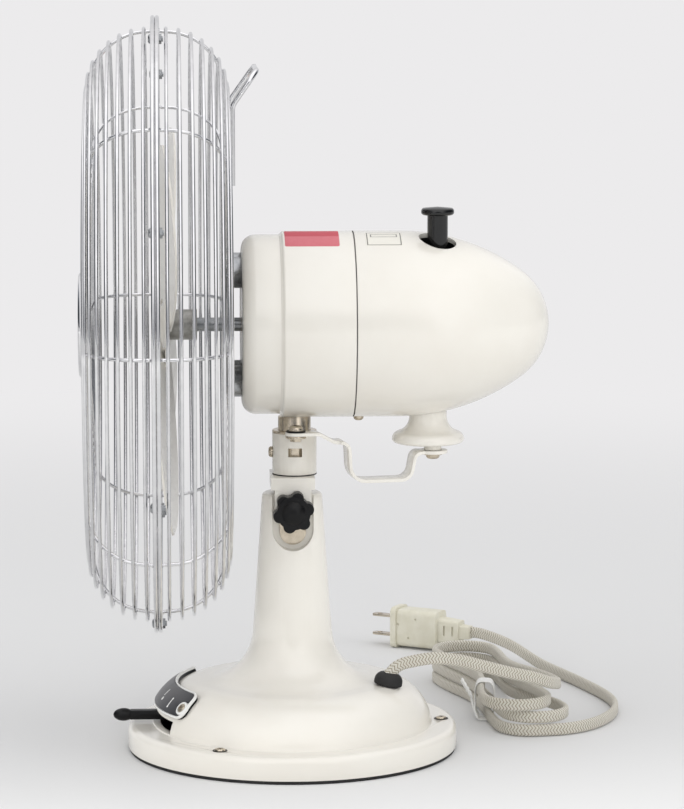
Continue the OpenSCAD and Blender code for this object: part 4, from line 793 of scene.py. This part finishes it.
for x, z in SINK_MARKS:
    dimple = drum(0.75, 7.7, 12, 16, "Y")
    dimple.data.transform(Matrix.Translation((x, 0, z)))
    cut(body, dimple)
for x in RELIEF_SLOTS:
    cut(body, block((1.3, 3, 6.4), (x, 6, 0.6)))
shade(body, 32)
plug_spot = Matrix.Translation(PLUG_AT) @ Matrix.Rotation(PLUG_TURNED, 4, "Z")
# Moulded ivory plastic: a yellowish satin skin, a little dulled by handling.
ivory = finish("moulded_ivory_plastic", "#DBD8C8", "#D2CEBB", 9, (0.35, 0.5), 0.5, 0.008)
plug = settle(copies(body, [plug_spot]), "plug_moulding", ivory, "base", "ivory_plastic", "plug_body")
pin = block(PIN_SIZE, PIN_MIDDLE)
edges(pin, lambda a, b: min(a.x, b.x) > 30 and abs(a.z - b.z) > 1, 2.2, 4)
hole = drum(PIN_HOLE_R, -3, 3, 20)
hole.data.transform(Matrix.Translation((PIN_HOLE_X, 0, 0)))
cut(pin, hole)
soften(pin, 0.2, 2, 50)
shade(pin, 35)
spots = [plug_spot @ Matrix.Translation((0, 0, side * PIN_PITCH / 2)) for side in (-1, 1)]
pins = settle(copies(pin, spots), "plug_pins", nickel, "base", "nickel", "plug_blades")


# Tilt joint: a steel bolt through the column's web, two nickel tongues and the enamelled fork of the neck.
# A six-lobed moulded knob on the bolt clamps the tilt by hand.
settle(rounded("tilt_bolt", 0.4), "tilt_axle", nickel, "base", "nickel", "tilt_bolt")
settle(rounded("tilt_plates", 0.3), "tilt_tongues", nickel, "neck", "nickel", "tilt_plates")
settle(rounded("tilt_block", 0.6), "neck_fork", enamel, "neck", "cream_paint", "tilt_block")
settle(rounded("tilt_knob", 0.8, steps=3), "lobed_knob", black, "knob", "black_plastic", "tilt_knob")


# Pivot: an enamelled collar with a sight window, clamped by a side screw, round the nickel post of the head.
# A flat nickel bracket on it carries the fixed end of the link, and a thin black ring under it stands for the
# shadow of the seam (painted shade).
PIVOT_Y = 1.4
COLLAR_SCREW = Vector((0, -11.5, 175))
settle(rounded("pivot_collar", 0.5), "swing_collar", enamel, "neck", "cream_paint", "pivot_collar")
collar_low, collar_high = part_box("pivot_collar")
collar_r = (collar_high[0] - collar_low[0]) / 2
# Painted shade: a thin black ring at the collar's foot stands for the shadow in the seam.
collar_shade_ring = drum(collar_r + 0.05 * MM, collar_low[2] + 0.1 * MM, collar_low[2] + 0.8 * MM, 64)
collar_shade_ring.data.transform(Matrix.Translation((0, PIVOT_Y * MM, 0)))
settle(collar_shade_ring, "collar_painted_shade_ring", rubber, "neck", "rubber")
clamp = copies(screw(3.2, 2.2, 4, 3.5), [aim(COLLAR_SCREW, (0, -1, 0), 30)])
settle(clamp, "collar_fixing", nickel, "neck", "nickel", "collar_screw")
settle(rounded("pivot_post", 0.4), "swing_post", nickel, "head", "nickel", "pivot_post")
settle(rounded("link_bracket", 0.3), "link_ear", nickel, "neck", "nickel", "link_bracket")


# Link and crank: a bent enamelled strip from the bracket to the crank disc that turns under the head.
# Its two screws have washers, the upper one of black fibre.
LINK_PIVOT = Vector((25, PIVOT_Y, 190))
CRANK_PIN = Vector((11.84, 81.15, 174.5))
WASHER_R = 5.6
WASHER_T = 0.9
settle(rounded("crank_link", 0.35), "bent_link", enamel, "link", "cream_paint", "crank_link")
pivot_head = screw(4.2, 2.8, 4, 6)
nut = drum(3.6, -6.3, -4.5, 6)
soften(nut, 0.25, 2, 35)
upper = copies(merged([pivot_head, nut]), [aim(LINK_PIVOT + Vector((0, 0, WASHER_T)), (0, 0, 1), 15)])
settle(upper, "link_fixing", nickel, "neck", "nickel", "link_pivot_screw")
washer = drum(WASHER_R, 0, WASHER_T, 40)
cut(washer, drum(2.1, -1, 2, 24))
soften(washer, 0.15, 2, 35)
shade(washer, 35)
settle(copies(washer, [aim(LINK_PIVOT, (0, 0, 1))]), "fibre_washer", black, "neck", "black_plastic")
lower_washer = drum(WASHER_R, -WASHER_T, 0, 40)
soften(lower_washer, 0.15, 2, 35)
shade(lower_washer, 35)
lower = copies(merged([screw(4, 2.4, 4, 8.5), lower_washer]), [aim(CRANK_PIN, (0, 0, -1), 40)])
settle(lower, "crank_fixing", nickel, "crank", "nickel", "crank_screw")
settle(rounded("crank_disc", 0.3), "crank_wheel", enamel, "crank", "cream_paint", "crank_disc")


# Motor and drive inside the head: laminated stator and rotor, coils, bearings, worm and gears.
# The casings hide them, so their solids keep their shapes and only get their metals.
# Cast zinc: grey and grainy, with a dull gleam.
zinc = finish("sand_cast_zinc", "#9C9B98", "#86857F", 3, (0.32, 0.5), 0.4, 0.02, Metallic=1.0)
wear(zinc, "gear_case crank_gear pinion")
# Machined bronze: a warm yellow-brown with a soft gleam.
bronze = finish("machined_bronze", "#B08D57", "#967544", 4, (0.25, 0.4), 0.3, 0.004, Metallic=1.0)
wear(bronze, "front_bearing rear_bearing worm worm_wheel")
# Enamelled copper wire: reddish, with an uneven wound surface.
copper = finish("enamelled_copper_wire", "#B4683A", "#93502B", 2, (0.25, 0.4), 0.5, 0.05, Metallic=1.0)
wear(copper, "windings")


# Head: a pressed front bell, a drawn motor shell and a bullet-shaped rear cover, enamelled like the base.
# Paint fills the step from bell to shell; at the rear seam a thin black ring stands for the shadow in the
# joint (painted shade), and a screw from below closes the seam.
AXIS_Z = 249.6
SHELL_R = 53.8
SHELL_FRONT = -6.4
FILLET_FRONT_R = 51.93
FILLET_REAR_R = 53.1
FILLET_L = 1.7
SEAM_Y = 35.2
SEAM_SHADE_PROUD = 0.04
COVER_SCREW = Vector((0, 38.7, 195.8))
settle(rounded("front_bell", 0.4), "bell_cap", enamel, "head", "cream_paint", "front_bell")


def front_rim(a, b):
    """True for an edge of the motor shell's outer front rim."""
    return all(p.y < (SHELL_FRONT + 0.1) * MM and math.hypot(p.x, p.z - AXIS_Z * MM) > (SHELL_R - 0.2) * MM
               for p in (a, b))


motor_drum = rounded("motor_shell", 0)
edges(motor_drum, front_rim, 1.5 * MM, 5)
settle(motor_drum, "motor_drum", enamel, "head", "cream_paint", "motor_shell")
start()
bpy.ops.mesh.primitive_cone_add(vertices=160, radius1=FILLET_FRONT_R, radius2=FILLET_REAR_R, depth=FILLET_L)
fillet = copies(shade(bpy.context.object, 30), [aim((0, SHELL_FRONT - 0.35, AXIS_Z), (0, 1, 0))])
settle(fillet, "enamel_fillet", enamel, "head", "cream_paint")
settle(rounded("rear_cover", 0.3), "bullet_cover", enamel, "head", "cream_paint", "rear_cover")
# Painted shade: a thin black ring in the rear seam stands for the shadow in the joint.
seam_shade_ring = shade(drum(SHELL_R + SEAM_SHADE_PROUD, -0.1, 0.2, 160), 30)
settle(copies(seam_shade_ring, [aim((0, SEAM_Y, AXIS_Z), (0, 1, 0))]), "seam_painted_shade", rubber, "head", "rubber")
seam_screw = copies(screw(3, 2.6, 3, 3), [aim(COVER_SCREW, (0, 0, -1), 10)])
settle(seam_screw, "cover_fixing", nickel, "head", "nickel", "cover_screw")


# Labels: a plain red paper sticker on the motor shell and a bare foil rating plate on the cover.
# Both lie flat on the curve of the head, and neither carries words.
def on_head(middle_y, middle_turn):
    """Surface function for pads on the head, from a place along it and degrees from its top to the knob."""
    def surface(x, y, h):
        turn = math.radians(middle_turn) - y / SHELL_R
        return Vector(((SHELL_R + h) * math.sin(turn), middle_y + x, AXIS_Z + (SHELL_R + h) * math.cos(turn)))
    return surface


def label(name, colour, gloss):
    """Material with a colour made from the label's own flat coordinates."""
    material = bpy.data.materials.new(name)
    material.use_nodes = True
    tree = material.node_tree
    shader = tree.nodes["Principled BSDF"]
    flat = add(tree, "ShaderNodeUVMap", uv_map="flat").outputs[0]
    tree.links.new(colour(tree, flat), shader.inputs["Base Color"])
    speck = add(tree, "ShaderNodeTexNoise", {"Scale": per_mm(0.8), "Detail": 3.0},
                {"Vector": flat}).outputs[0]
    rough = add(tree, "ShaderNodeMapRange", {3: gloss[0], 4: gloss[1]}, {0: speck}).outputs[0]
    tree.links.new(rough, shader.inputs["Roughness"])
    bump = add(tree, "ShaderNodeBump", {"Strength": 1.0, "Distance": 0.01 * MM}, {"Height": speck})
    tree.links.new(bump.outputs[0], shader.inputs["Normal"])
    return material


def red_paper(tree, flat):
    """Printed red above a faded pink half, with uneven ink."""
    axes = add(tree, "ShaderNodeSeparateXYZ", links={0: flat}).outputs
    half = add(tree, "ShaderNodeMapRange", {1: -0.6 * MM, 2: 0.6 * MM}, {0: axes["Y"]}).outputs[0]
    cloud = add(tree, "ShaderNodeTexNoise", {"Scale": per_mm(4), "Detail": 4.0}, {"Vector": flat}).outputs[0]
    pink = add(tree, "ShaderNodeMix", {6: linear("#D67680"), 7: linear("#CF6872")}, {0: cloud},
               data_type="RGBA").outputs[2]
    red = add(tree, "ShaderNodeMix", {6: linear("#C64857"), 7: linear("#BE3E4D")}, {0: cloud},
              data_type="RGBA").outputs[2]
    return add(tree, "ShaderNodeMix", links={0: half, 6: pink, 7: red}, data_type="RGBA").outputs[2]


def ruled_foil(tree, flat):
    """Cream foil with a thin dark frame and a short ruled box inside it."""
    axes = add(tree, "ShaderNodeSeparateXYZ", links={0: flat}).outputs
    lines = []
    for x, y, half_x, half_y in ((0, 0, 9.6, 8.6), (0, 3.4, 7.4, 2.0)):
        sides = []
        for axis, middle, half in (("X", x, half_x), ("Y", y, half_y)):
            off = add(tree, "ShaderNodeMath", {1: -middle * MM}, {0: axes[axis]}, operation="ADD").outputs[0]
            off = add(tree, "ShaderNodeMath", links={0: off}, operation="ABSOLUTE").outputs[0]
            sides.append(add(tree, "ShaderNodeMath", {1: -half * MM}, {0: off}, operation="ADD").outputs[0])
        edge = add(tree, "ShaderNodeMath", links={0: sides[0], 1: sides[1]}, operation="MAXIMUM").outputs[0]
        edge = add(tree, "ShaderNodeMath", links={0: edge}, operation="ABSOLUTE").outputs[0]
        inked = add(tree, "ShaderNodeMapRange", {1: 0.2 * MM, 2: 0.4 * MM, 3: 1.0, 4: 0.0}, {0: edge})
        lines.append(inked.outputs[0])
    both = add(tree, "ShaderNodeMath", links={0: lines[0], 1: lines[1]}, operation="MAXIMUM").outputs[0]
    return add(tree, "ShaderNodeMix", {6: linear("#EAE7DD"), 7: linear("#6E6C66")}, {0: both},
               data_type="RGBA").outputs[2]


# Printed paper: an even, slightly mottled colour with almost no gloss.
red_print = label("printed_red_paper", red_paper, (0.5, 0.65))
sticker = pad(round_box(15.6, 12.6, 1.2), on_head(11, 15), [(0, -0.05), (0, 0.08), (0.1, 0.12)])
settle(sticker, "red_sticker", red_print, "head", "cream_paint")
# Lacquered foil: close to the enamel in colour, with a duller gleam that sets it off.
cream_foil = label("ruled_cream_foil", ruled_foil, (0.3, 0.42))
plate = pad(round_box(10.4, 9.4, 0.6), on_head(52.2, 18), [(0, -0.05), (0, 0.06), (0.1, 0.08)])
settle(plate, "rating_plate", cream_foil, "head", "cream_paint")


# Clutch: a glossy black push knob on its spindle, standing up in a dark moulded well.
# Pulled up, as here, it frees the gears and the head stands still; pushed down, the head swings.
# Polished black plastic: deep black with small sharp highlights.
glossy_black = finish("polished_black_plastic", "#0C0C0D", "#131314", 12, (0.1, 0.18), 0.5, 0.004)
push_knob = rounded("clutch_knob", 0.4, steps=3)
settle(push_knob, "push_knob", glossy_black, "clutch", "black_plastic", "clutch_knob")
wear(black, "knob_well")


# Rotor: a cast hub locked on the motor shaft by a grub screw, and four cream blades on one spider.
# The blades are pressed from sheet and enamelled like the head.
# Turned aluminium: a light grey metal with blurred reflections.
aluminium = finish("turned_cast_aluminium", "#B9B8B4", "#A2A19D", 3, (0.34, 0.5), 0.4, 0.012, Metallic=1.0)
settle(rounded("fan_hub", 0.5), "blade_hub", aluminium, "rotor", "aluminium", "fan_hub")
wear(dark_steel_and_painted_shade, "hub_set_screw")
settle(rounded("fan_blades", 0, 45), "pressed_blades", enamel, "rotor", "cream_paint", "fan_blades")


# Guard: two baskets of chromed wire rings on eight welded ribs, screwed together at the rim.
# The rear one is fixed to the bell by a plated steel disc and four screws, and carries the wire handle.
RIM_AHEAD = 78
SIDE_R = 170.2
CORNER = 35
FIRST_RING = 6.3
RING_PITCH = 7.3
RIM_R = 176.5
RIM_WIRE = 2.5
RING_WIRE = 2.2
RIBS = 8
RIM_SCREWS = 7
RIM_SCREW_R = 172.2
RIM_SCREW_FROM = -80
RIM_SCREW_AHEAD = 1.7
PAD_RING = 34
PAD_TURNS = (67.5, 112.5, 247.5, 292.5)
PLATE_Y = -37.9
BEAD_R = 1.35
BEAD_SHAPE = (1.1, 0.75, 0.75, 1)
BEAD_INSET = 0.85
# Name, side of the rim plane, start of the corner, slope of the face in degrees, and rings of each basket
BASKETS = (("front", 1, 4.4, 1.5, 22), ("rear", -1, 6.2, 0, 20))
# Chromed wire: a near mirror that shows a bright line along each wire and dark flanks.
chrome = finish("chromed_steel_wire", "#E2E2E3", "#D4D4D6", 9, (0.05, 0.1), 6, 0.001, Metallic=1.0)
wear(chrome, "rear_ribs front_ribs")


def on_guard(radius, turn, forward):
    """Point of the guard from its radius, its angle in degrees and its distance before the rim plane."""
    p = polar(radius, turn, 0)
    return Vector((p.x, -RIM_AHEAD - forward, AXIS_Z + p.y))


def ring_spots(front_start, slope, rings):
    """Radius and offset from the rim plane of each ring of a basket."""
    made = []
    lean = math.radians(slope)
    turn_end = math.pi / 2 - lean
    for i in range(rings):
        s = FIRST_RING + RING_PITCH * i - front_start
        turn = min(max(s / CORNER, 0), turn_end)
        rest = max(0, s - CORNER * turn_end)
        made.append((SIDE_R - CORNER + CORNER * math.cos(turn) - rest * math.cos(lean),
                     front_start + min(s, 0) + CORNER * math.sin(turn) + rest * math.sin(lean)))
    return made


def wire_ring(radius, forward, thickness):
    """Wire ring about the fan's axis."""
    start()
    bpy.ops.mesh.primitive_torus_add(major_radius=radius, minor_radius=thickness / 2, major_segments=160,
                                     minor_segments=10)
    ring = bpy.context.object
    ring.data.transform(Matrix.Scale(MM, 4) @ Matrix.Translation((0, -RIM_AHEAD - forward, AXIS_Z))
                        @ Matrix.Rotation(math.radians(90), 4, "X"))
    return ring


for name, side, begins, slope, rings in BASKETS:
    spots = ring_spots(begins, slope, rings)
    made = [wire_ring(RIM_R, side * RIM_WIRE / 2, RIM_WIRE)]
    made += [wire_ring(radius, side * offset, RING_WIRE) for radius, offset in spots]
    basket = merged(made)
    start(basket)
    bpy.ops.object.shade_smooth()
    settle(basket, name + "_basket_rings", chrome, "head", "chrome_wire", name + "_rings")
    start()
    bpy.ops.mesh.primitive_ico_sphere_add(subdivisions=1, radius=BEAD_R)
    bead = bpy.context.object
    bead.data.transform(Matrix.Diagonal(BEAD_SHAPE))
    bpy.ops.object.shade_smooth()
    crossings = []
    for radius, offset in spots:
        lean = math.atan2(offset - begins, radius - SIDE_R + CORNER) if radius < SIDE_R else 0
        inner = radius - BEAD_INSET * math.cos(lean)
        depth = offset - BEAD_INSET * math.sin(lean)
        for i in range(RIBS):
            crossings.append(aim(on_guard(inner, 360 / RIBS * i, side * depth), (0, -1, 0)))
    settle(copies(bead, crossings), name + "_weld_beads", chrome, "head", "chrome_wire")
settle(rounded("carry_handle", 0), "wire_handle", chrome, "head", "chrome_wire", "carry_handle")
settle(rounded("guard_plate", 0.3), "guard_mount", steel, "head", "nickel", "guard_plate")
spots = []
for turn in PAD_TURNS:
    spots.append(aim(polar(PAD_RING, turn, 0).xzy + Vector((0, PLATE_Y, AXIS_Z)), (0, -1, 0), 20))
settle(copies(screw(3.8, 2.2, 4, 10), spots), "guard_fixings", steel, "head", "nickel", "guard_screws")
rim_screw = screw(2.8, 2, 3, 6.5)
nut = drum(3, -5.6, -3.4, 6)
soften(nut, 0.2, 2, 35)
spots = []
for i in range(RIM_SCREWS):
    turn = RIM_SCREW_FROM + i * 360 / RIM_SCREWS
    spots.append(aim(on_guard(RIM_SCREW_R, turn, RIM_SCREW_AHEAD), (0, -1, 0), 15))
settle(copies(merged([rim_screw, nut]), spots), "rim_fixings", steel, "head", "nickel", "rim_screws")


# Badge: a bare chromed spun disc with a raised rolled edge.
# It is fixed over the inner ends of the front ribs and hides them.
settle(rounded("front_badge", 0.2), "spun_badge", chrome, "head", "chrome_wire", "front_badge")
